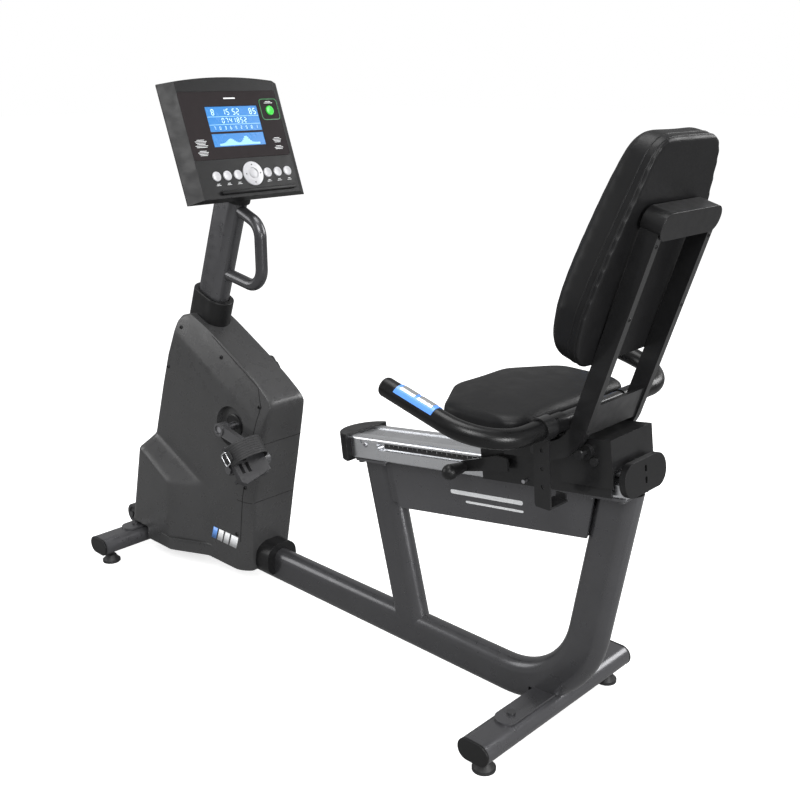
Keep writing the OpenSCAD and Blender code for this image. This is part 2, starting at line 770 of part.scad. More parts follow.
module left_pedal() place() color(black) at_left_pedal() pedal_body();
module right_pedal() place() color(black) at_right_pedal() pedal_body();
module left_pedal_strap() place() color(black) at_left_pedal() strap();
module right_pedal_strap() place() color(black) at_right_pedal() strap();

// ---------- rail ----------

module seat_rail() place() color(silver) on_rail() difference() {
    translate([0, 0, -rail_height / 2]) along(rail_length) difference() {
        round_rect(rail_width, rail_height, 7);
        round_rect(76, rail_height - 12, 5);
        translate([0, rail_height / 2]) square([54, 5], center = true);
    }
    both() {
        translate([slot_start, rail_width / 2 - slot_depth, slot_mid - slot_h / 2])
            cube([rail_length, 20, slot_h]);
        cross_rod(slot_start, slot_mid, rail_width / 2 - slot_depth, rail_width, slot_h / 2);
        cross_rod(34, slot_mid + 6, rail_width / 2 - 6, rail_width, 3.4);
    }
    mount_bolt_places() cylinder(h = 30, r = 4.3, center = true);
}

module rail_front_cap() place() color(black) on_rail() translate([0, 0, -rail_height - 5.5])
    linear_extrude(rail_height + 11) intersection() {
        translate([9.7, 0]) circle(67.7);
        translate([-100, -100]) square([100 - gap, 200]);
    }

module rail_rear_cap() place() color(black) on_rail() translate([rail_length + gap, 0, -17])
    along(13) difference() {
        round_rect(142, 64, 31);
        for (e = [-1, 1]) translate([0, 2 + 11 * e]) oval(7, 13);
    }

module ruler_strips() place() color(black) on_rail() both()
    translate([slot_start + 8, rail_width / 2 - slot_depth + 0.05, slot_mid - 6])
        cube([rail_length - slot_start - 20, 1.2, 12]);

// ---------- seat carriage ----------

module side_plates(s, h, y, t) both() translate([s[0], y, h[0]]) cube([s[1] - s[0], t, h[1] - h[0]]);

lever_s = 455;
lever_h = -6;
shoe_s = 500;
shoe_h = -38;

module seat_carriage() place() color(dark_grey) {
    on_rail() difference() {
        union() {
            side_plates(box_s, box_h, 64, 6);
            side_plates(ext_s, ext_h, carriage_in, 6.2);
            translate([ext_s[0], -64, 8]) cube([ext_s[1] - ext_s[0], 128, 6]);
            translate([box_s[0], -66, box_h[1] - 6]) cube([box_s[1] - box_s[0], 132, 6]);
            translate([box_s[1] - 6, -66, 2]) cube([6, 132, box_h[1] - 4]);
            translate([box_s[0], -66, 10]) cube([5, 132, box_h[1] - 12]);
            both() translate([520, carriage_in, 0]) cube([80, 8, 56]);
            for (s = carriage_bolts) both() cross_rod(s, bolt_h, 60, 78.7, 14);
        }
        for (s = carriage_bolts) both() cross_rod(s, bolt_h, 50, 90, 5.3);
        both() cross_rod(664, 20, 50, 90, 5.3);
        cross_rod(shoe_s, shoe_h, -80, -50, 4.3);
        cross_rod(lever_s, lever_h, -90, -50, 5.05);
    }
    on_rail() for (s = roller_s) both() cross_rod(s, slot_mid, 45.5, 60, 3);
    // Risers under the seat pan
    both() slab(50, 56) polygon([[-176, 602], [-176, seat_base - pan_t - gap], [8, seat_base - pan_t - gap],
        [8, 607], [-148, 585]]);
    translate([-176, -56, seat_base - pan_t - gap - 5]) cube([184, 112, 5]);
    // Saddles that hold the cross tube of the hand rails
    both() difference() {
        slab(36, 56) polygon([[bar_x - 20, 660], [bar_x - 20, bar_z], [bar_x + 20, bar_z],
            [bar_x + 20, 664]]);
        cross_rod(bar_x, bar_z, 20, 70, handrail_tube / 2 + running);
    }
}

module rollers(s) on_rail() both() difference() {
    cross_rod(s, slot_mid, 46, 52, roller_r);
    cross_rod(s, slot_mid, 40, 60, 3 + running);
}

module front_rollers() place() color(black) rollers(roller_s[0]);
module rear_rollers() place() color(black) rollers(roller_s[1]);

module lock_shoe() place() color(steel) on_rail() {
    translate([shoe_s - 16, -rail_width / 2 - 3.1, shoe_h - 8]) cube([32, 3, 14]);
    cross_rod(shoe_s, shoe_h, -74, -rail_width / 2 - 0.6, 4);
}

// Lever with a bent end; its pivot runs across the bike through the carriage's left plate
module release_lever() place() color(dark_grey) on_rail() {
    cross_rod(lever_s, lever_h, -72, -54, 5);
    slab(-80, -74.5) polygon([[lever_s + 14, lever_h + 12], [lever_s - 14, lever_h + 14], [352, -12],
        [348, -34], [lever_s - 10, lever_h - 16], [lever_s + 14, lever_h - 14]]);
    cross_rod(lever_s, lever_h, -76, -71, 13);
    cross_rod(357, -23, -120, -76, 5);
}

module lever_knob() place() color(black) on_rail() difference() {
    union() {
        translate([357, -80.4, -23]) rotate([90, 0, 0]) cylinder(h = 42, r1 = 10, r2 = 16);
        translate([357, -122.4, -23]) sphere(16);
    }
    cross_rod(357, -23, -121, -60, 5.05);
}

// ---------- seat and back ----------

seat_nose = -220;
seat_tail = seat_nose + seat_length;
seat_wide = -122;

// Plan of the seat: a blunt nose that widens to full width, with rounded corners
module seat_plan(inset, r) {
    hull() {
        for (e = [-1, 1]) {
            translate([seat_nose + 34 + inset, e * 66]) circle(32, $fn = 32);
            translate([seat_wide + inset + r - 44, e * (seat_width / 2 - inset - r)]) circle(r, $fn = 32);
            translate([seat_tail - inset - r, e * (seat_width / 2 - 2 - inset - r)]) circle(r, $fn = 32);
        }
    }
}

module seat_pan() place() color(black) translate([0, 0, seat_base - pan_t]) {
    translate([0, 0, 6]) linear_extrude(pan_t - 6) seat_plan(6, 44);
    linear_extrude(8) seat_plan(30, 30);
}

module seat_cushion() place() color(vinyl) translate([0, 0, seat_base + 1]) {
    linear_extrude(seat_thickness - 10) seat_plan(0, 50);
    translate([0, 0, seat_thickness - 12]) linear_extrude(6) seat_plan(4, 48);
    translate([0, 0, seat_thickness - 7]) linear_extrude(7) seat_plan(12, 42);
}

bar_top = 1073;
back_bar_path = [[-70, 623.5], [79.5, 644.7],
    [back_foot_x + (bar_top - back_foot_z) * tan(bar_lean), bar_top]];

module back_frame() place() color(dark_grey) difference() {
    union() {
        both() translate([0, back_bar_y + back_bar_t / 2, 0]) side_plane() sweep(back_bar_path, 80) {
            square([back_bar - slim, back_bar_t - slim], center = true);
            square([back_bar, back_bar_t], center = true);
        }
        // Cross plate between the bars, above the carriage, and a cross tube under the cap
        translate([100, -back_bar_y - 1, 682]) rotate([0, bar_lean, 0]) cube([6, 2 * back_bar_y + 2, 62]);
        translate([201, -back_bar_y - 1, 1052]) rotate([0, bar_lean, 0]) cube([22, 2 * back_bar_y + 2, 20]);
    }
    on_rail() for (s = carriage_bolts) both() cross_rod(s, bolt_h, 60, 120, 5.3);
}

module back_cap() place() color(black) translate([cap_x, 0, cap_z]) rotate([0, bar_lean, 0]) difference() {
    translate([-cap_depth / 2, 0, 0]) along(cap_depth) round_rect(196, cap_height, 23);
    translate([-back_bar / 2 - cap_play, -95.4, -40]) cube([back_bar + 2 * cap_play, 190.8, 45]);
}

// Outline of the back: widest near its foot, with a narrower rounded top
module back_plan(inset) hull() for (e = [-1, 1]) {
    translate([62, e * 95]) circle(62 - inset, $fn = 32);
    translate([105, e * 127]) circle(30 - inset, $fn = 32);
    translate([back_length - 48, e * 62]) circle(48 - inset, $fn = 32);
}

// The back cushion, standing on its slope; its rear face is flat
module back_cushion() place() color(vinyl) on_back(cushion_foot_x, cushion_foot_z)
    rotate([0, -90, 0]) {
        linear_extrude(back_thickness - 8) back_plan(0);
        translate([0, 0, back_thickness - 9]) linear_extrude(9) back_plan(9);
    }

// ---------- hand rails ----------

// Path of one hand rail in its own plane: across, then forward
function rail_path(from, reach) = [[0, from], [0, handrail_spread / 2], [-reach, handrail_spread / 2]];

module bar_plane() translate([bar_x, 0, bar_z]) rotate([0, bar_rise, 0]) children();

// Both hand rails, from the given distance off the middle to the given forward reach
module rail_tube(from, reach, r) sweep(rail_path(from, reach), bar_bend) {
    circle(r - slim / 2);
    circle(r);
}

module handlebar() place() color(steel) bar_plane() both() difference() {
    rail_tube(-0.01, bar_reach - 8, handrail_tube / 2);
    rail_tube(-1, bar_reach + 10, handrail_tube / 2 - 2.5);
}

// Rounded end of a grip, a step wider than the sleeve
module grip_end() rotate_extrude()
    polygon([[0, 0], [grip_r, 0], [grip_r, 3], [grip_r - 1.5, 6.5], [grip_r - 6, 9], [0, 9]]);

module handlebar_grips() place() color(black) bar_plane() both() difference() {
    union() {
        rail_tube(grip_inner, bar_reach - 2, grip_r);
        translate([-bar_reach + 4, handrail_spread / 2, 0]) rotate([0, -90, 0]) grip_end();
    }
    rail_tube(grip_inner - 1, bar_reach - 7, handrail_tube / 2 + 0.1);
    sensor_space(0.2);
}

sensor_from = 122;
sensor_to = 214;

// The sensor housing wraps over the top of the grip
module sensor_space(extra) translate([-sensor_to - extra, handrail_spread / 2 - 40, 9 - extra])
    cube([sensor_to - sensor_from + 2 * extra, 80, 40]);

module pulse_sensors() place() color([0.25, 0.45, 0.85]) bar_plane() both() difference() {
    translate([-sensor_to, handrail_spread / 2, 0]) along(sensor_to - sensor_from) circle(grip_r + 1);
    translate([-sensor_to - 1, handrail_spread / 2 - 40, -60]) cube([sensor_to - sensor_from + 2, 80, 69]);
    translate([-sensor_to - 1, handrail_spread / 2, 0]) along(200) circle(handrail_tube / 2 + 0.1);
    for (k = [0, 1]) sensor_plate_box(k, 0.1);
}

module sensor_plate_box(k, extra)
    translate([-sensor_to + 8 + 42 * k - extra, handrail_spread / 2 - 10 - extra, 18])
    cube([34 + 2 * extra, 20 + 2 * extra, 8]);

module sensor_plates() place() color(silver) bar_plane() both() for (k = [0, 1]) intersection() {
    sensor_plate_box(k, 0);
    translate([-sensor_to - 1, handrail_spread / 2, 0]) along(200) circle(grip_r + 1.8);
}

bracket_y = 150;
bracket_z = 551;                 // underside of the accessory bracket

// Hanging L-bracket, clamped round the left grip
module accessory_bracket() place() color(black) {
    mirror([0, 1, 0]) difference() {
        union() {
            cross_rod(bar_x, bar_z, bracket_y - 15, bracket_y + 15, grip_r + 4);
            slab(bracket_y - 2, bracket_y + 2) polygon([[bar_x - 22, bar_z], [bar_x + 12, bar_z],
                [bar_x + 24, 557], [bar_x + 22, bracket_z], [bar_x - 8, bracket_z], [bar_x - 11, 557]]);
            translate([bar_x - 8, bracket_y - 55, bracket_z]) cube([30, 55, 4]);
            translate([bar_x - 4, bracket_y - 57, bracket_z]) cube([22, 4, 14]);
        }
        cross_rod(bar_x, bar_z, 0, 300, grip_r + 0.2);
        for (k = [0, 1, 2]) cross_rod(bar_x - 1 + 3 * k, 660 - 34 * k, 100, 200, 4);
    }
}

module seat_bolts() place() color(steel) on_rail() {
    for (s = carriage_bolts) both() side_bolt(s, bolt_h, 95.2, 36, 5, 9);
    both() side_bolt(664, 20, 70.2, 12, 5, 8);
}

main_frame();
front_stabiliser();
rear_stabiliser();
stabiliser_end_caps();
levelling_feet();
frame_bolts();
left_transport_wheel();
right_transport_wheel();
left_cover();
right_cover();
cover_screws();
tube_boot();
post_collar();
console_post();
console_housing();
console_back();
console_panel();
lcd_display();
start_button();
keypad_button_1();
keypad_button_2();
keypad_button_3();
keypad_button_4();
keypad_button_5();
keypad_button_6();
control_button();
crank_bearings();
flywheel_axle();
flywheel();
drive_belt();
crank_axle();
drive_pulley();
left_crank_arm();
right_crank_arm();
pedal_spindles();
left_pedal();
right_pedal();
left_pedal_strap();
right_pedal_strap();
seat_rail();
rail_front_cap();
rail_rear_cap();
ruler_strips();
seat_carriage();
front_rollers();
rear_rollers();
lock_shoe();
release_lever();
lever_knob();
seat_pan();
seat_cushion();
back_frame();
back_cap();
back_cushion();
handlebar();
handlebar_grips();
pulse_sensors();
sensor_plates();
accessory_bracket();
seat_bolts();
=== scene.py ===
"""Looks for the recumbent exercise bike: rounded shells, crowned cushions and worn, grained materials
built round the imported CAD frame. Lengths are in metres; +X runs rearward, -Y is the rider's left."""

import json
import math

import bmesh
import bpy
import numpy as np
from mathutils import Matrix, Vector
from mathutils.bvhtree import BVHTree


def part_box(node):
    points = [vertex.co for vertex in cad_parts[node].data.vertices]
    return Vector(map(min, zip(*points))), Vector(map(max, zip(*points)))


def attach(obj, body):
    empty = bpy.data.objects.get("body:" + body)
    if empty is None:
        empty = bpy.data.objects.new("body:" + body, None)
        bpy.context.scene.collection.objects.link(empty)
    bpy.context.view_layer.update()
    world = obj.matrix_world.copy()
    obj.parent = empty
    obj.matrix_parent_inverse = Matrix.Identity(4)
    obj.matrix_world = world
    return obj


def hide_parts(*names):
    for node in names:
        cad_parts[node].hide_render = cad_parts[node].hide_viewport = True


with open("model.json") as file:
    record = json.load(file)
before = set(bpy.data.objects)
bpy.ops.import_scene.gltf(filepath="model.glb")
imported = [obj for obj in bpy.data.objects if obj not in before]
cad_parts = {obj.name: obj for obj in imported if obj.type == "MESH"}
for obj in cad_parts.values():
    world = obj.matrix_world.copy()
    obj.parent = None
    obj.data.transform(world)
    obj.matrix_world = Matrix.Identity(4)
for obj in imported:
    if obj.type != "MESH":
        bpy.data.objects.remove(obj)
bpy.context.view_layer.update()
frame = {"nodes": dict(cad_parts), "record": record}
record = frame["record"]
MM = 0.001

BODY_OF = {node: body for body, nodes in record["behaviour"]["bodies"].items() for node in nodes}
SLOT_OF = {part["node"]: part["material_slot"] for part in record["subparts"]}
JOINTS = {joint["name"]: joint for joint in record["behaviour"]["joints"]}


def middle(node):
    """Centre of a CAD node's box."""
    low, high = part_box(node)
    return (low + high) / 2


REAR_X = middle("rear_stabiliser").x
FRONT_X = middle("front_stabiliser").x
CRANK = Vector(JOINTS["crank_spin"]["pos_m"])
RAIL_DIRECTION = Vector(JOINTS["seat_slide"]["axis"])
RAIL_NORMAL = Vector((-RAIL_DIRECTION.z, 0, RAIL_DIRECTION.x))
FACE_NORMAL = Vector(JOINTS["start_press"]["axis"])
FACE_UP = Vector((-FACE_NORMAL.z, 0, FACE_NORMAL.x))


# ---------- materials ----------

class Shader:
    """Shorthand for building one node material."""

    def __init__(self, name):
        self.material = bpy.data.materials.new(name)
        self.material.use_nodes = True
        self.tree = self.material.node_tree
        self.surface = self.tree.nodes["Principled BSDF"]
        self.place = self.add("ShaderNodeTexCoord").outputs["Object"]

    def add(self, kind, **settings):
        node = self.tree.nodes.new(kind)
        for key, value in settings.items():
            setattr(node, key, value)
        return node

    def link(self, output, socket):
        self.tree.links.new(output, socket)

    def set(self, **values):
        for key, value in values.items():
            self.surface.inputs[key.replace("_", " ")].default_value = value

    def texture(self, kind, output, coordinates=None, **inputs):
        """A texture node's output, with some of its inputs set."""
        node = self.add(kind)
        for key, value in inputs.items():
            node.inputs[key].default_value = value
        self.link(coordinates or self.place, node.inputs["Vector"])
        return node.outputs[output]

    def stretched(self, scale):
        """Coordinates scaled differently along each axis."""
        return self.texture("ShaderNodeMapping", "Vector", Scale=scale)

    def noise(self, scale, detail=2.0, coordinates=None):
        return self.texture("ShaderNodeTexNoise", "Fac", coordinates, Scale=scale, Detail=detail)

    def cells(self, scale):
        return self.texture("ShaderNodeTexVoronoi", "Distance", Scale=scale)

    def span(self, value, low, high, start=0.3, end=0.7):
        """Maps start..end of a value to low..high."""
        node = self.add("ShaderNodeMapRange")
        for key, number in (("From Min", start), ("From Max", end), ("To Min", low), ("To Max", high)):
            node.inputs[key].default_value = number
        self.link(value, node.inputs["Value"])
        return node.outputs["Result"]

    def mix(self, factor, first, second):
        node = self.add("ShaderNodeMix", data_type="RGBA")
        self.link(factor, node.inputs["Factor"])
        for colour, socket in ((first, node.inputs[6]), (second, node.inputs[7])):
            if isinstance(colour, tuple):
                socket.default_value = (*colour, 1)
            else:
                self.link(colour, socket)
        return node.outputs[2]

    def bump(self, height, strength, distance, under=None):
        node = self.add("ShaderNodeBump")
        node.inputs["Strength"].default_value = strength
        node.inputs["Distance"].default_value = distance
        self.link(height, node.inputs["Height"])
        if under is not None:
            self.link(under, node.inputs["Normal"])
        self.link(node.outputs["Normal"], self.surface.inputs["Normal"])
        return node.outputs["Normal"]

    def edges(self, start=0.53, end=0.6):
        """One on worn convex edges, zero elsewhere."""
        point = self.add("ShaderNodeNewGeometry").outputs["Pointiness"]
        return self.span(point, 0.0, 1.0, start, end)


def shade(colour, factor):
    return tuple(min(1.0, channel * factor) for channel in colour)


def finish_surface(name, colour, rough, spread=0.12, metallic=0.0, grain=1100, grain_strength=0.12,
                   mottle=14, wear=1.35, coat=0.0):
    """The base of most materials: mottled colour, uneven roughness, a fine grain and lighter edges."""
    s = Shader(name)
    s.set(Metallic=metallic, Coat_Weight=coat, Coat_Roughness=0.15)
    broad = s.noise(mottle, 5)
    tint = s.mix(s.span(broad, 0, 1), shade(colour, 0.95), shade(colour, 1.05))
    s.link(s.mix(s.edges(), tint, shade(colour, wear)), s.surface.inputs["Base Color"])
    uneven = s.span(s.noise(mottle * 3, 4), rough - spread / 2, rough + spread / 2)
    s.link(uneven, s.surface.inputs["Roughness"])
    if grain_strength:
        s.bump(s.noise(grain, 3), grain_strength, 0.0004)
    return s


def moulded_plastic(name, colour, rough=0.5, strength=0.25, gloss=0.5):
    """Spark-eroded texture: fine cells over a soft undulation."""
    s = finish_surface(name, colour, rough, grain_strength=0)
    s.set(Specular_IOR_Level=gloss)
    wave = s.bump(s.noise(30, 2), 0.04, 0.002)
    s.bump(s.cells(900), strength, 0.0003, wave)
    return s.material


def painted_metal(name, colour, rough=0.31):
    """Satin metallic paint with orange peel and fine flake."""
    s = finish_surface(name, colour, rough, metallic=0.6, grain_strength=0, coat=0.45)
    peel = s.bump(s.noise(260, 2), 0.06, 0.0006)
    s.bump(s.cells(2200), 0.08, 0.0002, peel)
    return s.material


def gloss_plastic(name, colour, rough=0.18):
    s = finish_surface(name, colour, rough, spread=0.08, grain=400, grain_strength=0.03, coat=0.5)
    return s.material


def matt_film(name, colour):
    """Printed overlay film: dull, with a very fine grain."""
    s = finish_surface(name, colour, 0.6, spread=0.06, grain=1600, grain_strength=0.06)
    s.set(Specular_IOR_Level=0.25)
    return s.material


def brushed(name, colour, rough=0.3, along=(40, 1500, 1500)):
    """Metal with fine scratches that run one way."""
    s = finish_surface(name, colour, rough, metallic=1.0, grain_strength=0)
    s.bump(s.noise(1.0, 3, s.stretched(along)), 0.15, 0.0003)
    return s.material


def cast_iron(name, colour):
    return finish_surface(name, colour, 0.6, metallic=0.8, grain=350, grain_strength=0.5).material


def rubber(name, colour, rough=0.75, grain=700):
    return finish_surface(name, colour, rough, grain=grain, grain_strength=0.35, wear=1.15).material


def vinyl(name, colour):
    """Upholstery vinyl: fine leather grain with creases and a soft sheen."""
    s = finish_surface(name, colour, 0.46, spread=0.12, grain_strength=0, mottle=9, wear=1.2)
    s.set(Specular_IOR_Level=0.28)
    crease = s.bump(s.noise(60, 5), 0.05, 0.0008)
    s.bump(s.cells(700), 0.3, 0.0003, crease)
    return s.material


def foam(name, colour, rough):
    """Closed-cell foam sleeve with a skinned surface: fine pores under a soft shine."""
    s = finish_surface(name, colour, rough, grain_strength=0)
    s.set(Specular_IOR_Level=0.35)
    soft = s.bump(s.noise(90, 3), 0.08, 0.001)
    s.bump(s.cells(1300), 0.18, 0.0003, soft)
    return s.material


def lit(name, colour, glow):
    """Display ink and backlight, and a painted glow on the green button: a glossy surface that gives off a
    little of its own colour.
    """
    s = finish_surface(name, colour, 0.25, grain_strength=0, wear=1.0)
    s.set(Emission_Color=(*colour, 1), Emission_Strength=glow)
    return s.material


CHARCOAL = (0.085, 0.085, 0.09)
HOUSING_GREY = (0.052, 0.052, 0.053)
BLACK = (0.009, 0.009, 0.0095)
SOFT_BLACK = (0.005, 0.005, 0.0053)
DARK_STEEL = (0.022, 0.022, 0.023)

# How each slot's material is made: the function and what it is given
RECIPES = {
    "frame_paint": (painted_metal, CHARCOAL),
    "housing_plastic": (moulded_plastic, HOUSING_GREY, 0.3, 0.12, 0.62),
    "black_plastic": (moulded_plastic, BLACK, 0.38, 0.15, 0.4),
    "console_plastic": (moulded_plastic, BLACK, 0.42, 0.12, 0.32),
    "panel_face": (matt_film, (0.012, 0.008, 0.009)),
    "screen": (lit, (0.03, 0.19, 0.5), 0.3),
    "button_silver": (gloss_plastic, (0.55, 0.55, 0.57), 0.3),
    # The green button gets a painted glow: it gives off light of its own colour though nothing in it is lit.
    "button_green": (lit, (0.05, 0.55, 0.06), 0.25),
    "steel": (brushed, (0.45, 0.45, 0.47), 0.34),
    "flywheel_iron": (cast_iron, (0.12, 0.12, 0.13)),
    "belt_rubber": (rubber, (0.02, 0.02, 0.02)),
    "rail_aluminium": (brushed, (0.7, 0.71, 0.73), 0.3, (25, 900, 900)),
    "arm_silver": (painted_metal, (0.13, 0.13, 0.135), 0.34),
    "dark_steel": (painted_metal, DARK_STEEL, 0.42),
    "vinyl": (vinyl, (0.0065, 0.0065, 0.007)),
    "grip_foam": (foam, SOFT_BLACK, 0.3),
    "sensor_blue": (gloss_plastic, (0.09, 0.26, 0.72), 0.28),
    "sensor_steel": (brushed, (0.72, 0.73, 0.75), 0.2),
    "pedal_plastic": (moulded_plastic, (0.028, 0.028, 0.03), 0.5),
    "strap_rubber": (rubber, (0.02, 0.02, 0.021), 0.6),
    "wheel_plastic": (moulded_plastic, (0.05, 0.05, 0.053), 0.5),
    "ruler_black": (moulded_plastic, (0.014, 0.014, 0.015), 0.45),
}
MATERIALS = {slot: maker(slot, *given) for slot, (maker, *given) in RECIPES.items()}
# Parts whose look differs from the rest of their slot
LOOKS = {
    "levelling_feet": rubber("foot_rubber", (0.03, 0.03, 0.031), 0.5),
    "seat_bolts": painted_metal("black_bolt", (0.03, 0.03, 0.031), 0.35),
    "frame_bolts": painted_metal("frame_bolt", (0.06, 0.06, 0.063), 0.35),
    "pedal_spindles": brushed("spindle_steel", (0.16, 0.16, 0.165), 0.34),
}
SEAM_SHADOW = moulded_plastic("seam_shadow", (0.004, 0.004, 0.004), 0.8)
PRINT_WHITE = gloss_plastic("print_white", (0.72, 0.73, 0.75), 0.4)
PRINT_BLUE = gloss_plastic("print_blue", (0.12, 0.3, 0.75), 0.4)
PRINT_GREEN = gloss_plastic("print_green", (0.01, 0.16, 0.04), 0.4)
SCREEN_INK = lit("screen_ink", (0.55, 0.78, 1.0), 0.7)
SCREEN_PALE = lit("screen_pale", (0.25, 0.5, 0.88), 0.6)


# ---------- mesh helpers ----------

def shown(name, data):
    """Adds an object with some data to the scene. A bmesh is turned into a mesh first."""
    if isinstance(data, bmesh.types.BMesh):
        mesh = bpy.data.meshes.new(name)
        data.to_mesh(mesh)
        data.free()
        data = mesh
    obj = bpy.data.objects.new(name, data)
    bpy.context.scene.collection.objects.link(obj)
    return obj


def modified(obj, kind, **settings):
    """Adds a modifier with some settings."""
    modifier = obj.modifiers.new(kind.lower(), kind)
    for key, value in settings.items():
        setattr(modifier, key, value)
    return modifier


def piece(name, mesh, body, slot, *nodes, material=None, smooth=None):
    """Adds a mesh to the scene, riding on a body; it may stand for CAD nodes."""
    obj = shown(name, mesh)
    mesh = obj.data
    if not mesh.materials:
        mesh.materials.append(material or MATERIALS[slot])
    if smooth is not None:
        smooth_by_angle(obj, smooth)
    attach(obj, body)
    if nodes:
        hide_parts(*nodes)
    return obj


def placed(x, y, z, origin):
    """Matrix whose axes lie along three directions, set at an origin."""
    matrix = Matrix((x, y, z)).transposed().to_4x4()
    matrix.translation = origin
    return matrix


def bridge(bm, loops):
    """Adds the faces between neighbouring closed loops of points."""
    for lower, upper in zip(loops, loops[1:]):
        for k in range(len(lower)):
            after = (k + 1) % len(lower)
            bm.faces.new((lower[k], lower[after], upper[after], upper[k]))


def points_of(bm, places):
    return [bm.verts.new(place) for place in places]


def full_turn(steps):
    """Evenly spaced angles round a circle."""
    return [2 * math.pi * k / steps for k in range(steps)]


def smooth_by_angle(obj, degrees):
    """Smooth shading with sharp edges kept where faces meet at more than an angle."""
    mesh = obj.data
    mesh.shade_smooth()
    mesh.set_sharp_from_angle(angle=math.radians(degrees))


def evaluated_mesh(obj):
    """A new mesh of what an object's modifiers or bevels make of it."""
    bpy.context.view_layer.update()
    return bpy.data.meshes.new_from_object(obj.evaluated_get(bpy.context.evaluated_depsgraph_get()))


def applied(obj):
    """Bakes an object's modifiers into its mesh."""
    baked = evaluated_mesh(obj)
    old = obj.data
    obj.modifiers.clear()
    obj.data = baked
    bpy.data.meshes.remove(old)
    return obj


def merged(node):
    """A CAD node's mesh as a bmesh, with doubled points merged."""
    bm = bmesh.new()
    bm.from_mesh(frame["nodes"][node].data)
    bmesh.ops.remove_doubles(bm, verts=bm.verts, dist=2e-5)
    return bm


def cleaned(node):
    """The same with flat regions joined."""
    bm = merged(node)
    bmesh.ops.dissolve_limit(bm, angle_limit=math.radians(0.5), verts=bm.verts, edges=bm.edges)
    return bm


def softened(node, radius, segments=3, angle=28):
    """A copy of a CAD node with its sharp edges rounded, standing for the node."""
    obj = piece(node + "_shell", cleaned(node), BODY_OF[node], SLOT_OF[node], node)
    modified(obj, "BEVEL", width=radius, segments=segments, limit_method="ANGLE",
             angle_limit=math.radians(angle), miter_outer="MITER_ARC")
    applied(obj)
    smooth_by_angle(obj, 50)
    modified(obj, "WEIGHTED_NORMAL", weight=100, keep_sharp=True)


def box_of(points):
    """Lowest and highest corner of the box round some points."""
    return Vector(map(min, zip(*points))), Vector(map(max, zip(*points)))


def span_along(node, direction):
    """Lowest and highest place of a CAD node along a direction."""
    places = [vertex.co.dot(direction) for vertex in frame["nodes"][node].data.vertices]
    return min(places), max(places)


def tree_of(node):
    """Search tree over the mesh of a CAD node."""
    bm = bmesh.new()
    bm.from_mesh(frame["nodes"][node].data)
    tree = BVHTree.FromBMesh(bm)
    bm.free()
    return tree


def tube(name, points, radius, body, slot, closed=True, material=None, sides=4):
    """Round cord along a line of points."""
    data = bpy.data.curves.new(name + "_line", "CURVE")
    data.dimensions = "3D"
    line = data.splines.new("POLY")
    line.points.add(len(points) - 1)
    for target, point in zip(line.points, points):
        target.co = (*point, 1)
    line.use_cyclic_u = closed
    data.bevel_depth = radius
    data.bevel_resolution = sides
    data.use_fill_caps = not closed
    curve = shown(name + "_line", data)
    mesh = evaluated_mesh(curve)
    bpy.data.objects.remove(curve)
    bpy.data.curves.remove(data)
    mesh.materials.clear()
    return piece(name, mesh, body, slot, material=material, smooth=60)


def lathe(name, profile, origin, axis, body, slot, *nodes, steps=48, material=None):
    """Turns a list of (distance along the axis, radius) round an axis."""
    spin = axis.normalized().to_track_quat("Z", "Y").to_matrix().to_4x4()
    bm = bmesh.new()
    rings = []
    for height, radius in profile:
        circle = [Vector((radius * math.cos(a), radius * math.sin(a), height)) for a in full_turn(steps)]
        rings.append(points_of(bm, [origin + spin @ point for point in circle]))
    bridge(bm, rings)
    bm.faces.new(list(reversed(rings[0])))
    bm.faces.new(rings[-1])
    return piece(name, bm, body, slot, *nodes, material=material, smooth=35)


def rounded_rectangle(width, height, radius, steps=5):
    """Corner-rounded outline, counter-clockwise, centred on the origin."""
    points = []
    for quarter, (sx, sy) in enumerate(((1, 1), (-1, 1), (-1, -1), (1, -1))):
        for k in range(steps + 1):
            a = math.radians(90 * (quarter + k / steps))
            points.append((sx * (width / 2 - radius) + radius * math.cos(a),
                           sy * (height / 2 - radius) + radius * math.sin(a)))
    return points


def plate(name, outline, matrix, thickness, body, slot, material=None, edge=0.0):
    """Flat plate from an outline in its own X-Y plane, rising along Z, with a small edge rounding."""
    bm = bmesh.new()
    bottom = bm.faces.new(points_of(bm, [(x, y, 0) for x, y in outline]))
    raised = bmesh.ops.extrude_face_region(bm, geom=[bottom])["geom"]
    top = [v for v in raised if isinstance(v, bmesh.types.BMVert)]
    bmesh.ops.translate(bm, verts=top, vec=(0, 0, thickness))
    bmesh.ops.recalc_face_normals(bm, faces=bm.faces)
    if edge:
        rim = [e for e in bm.edges if all(abs(v.co.z - thickness) < 1e-7 for v in e.verts)]
        bmesh.ops.bevel(bm, geom=rim, offset=edge, segments=2, profile=0.5, affect="EDGES")
    bm.transform(matrix)
    return piece(name, bm, body, slot, material=material, smooth=35)


# ---------- drive housing ----------

SKIN_STEP = 5 * MM          # height of one slice of the skin
PROBE_STEP = 4 * MM         # spacing of the places tried when looking for a slice's ends
SIDE_POINTS = 44
REAR_POINTS = 12
CORNER_POINTS = 7
END_POINTS = 4
NOTCH_TOP = 36 * MM         # top of the notch over the front stabiliser, above the tube's middle
FRONT_ROUND = 22 * MM       # rounding of the front edge in the flared part
UPPER_ROUND = 14 * MM       # the same above the flare
FLARE_TOP = (0.33, 0.38)    # heights between which the front edge tightens
REAR_ROUND = 54 * MM
WALL = 2.6 * MM
DISH_RADIUS = 52 * MM
DISH_FLOOR = 60 * MM
HUB_HOLE = 23 * MM
RIDGE_SLOPE = math.radians(29.7)


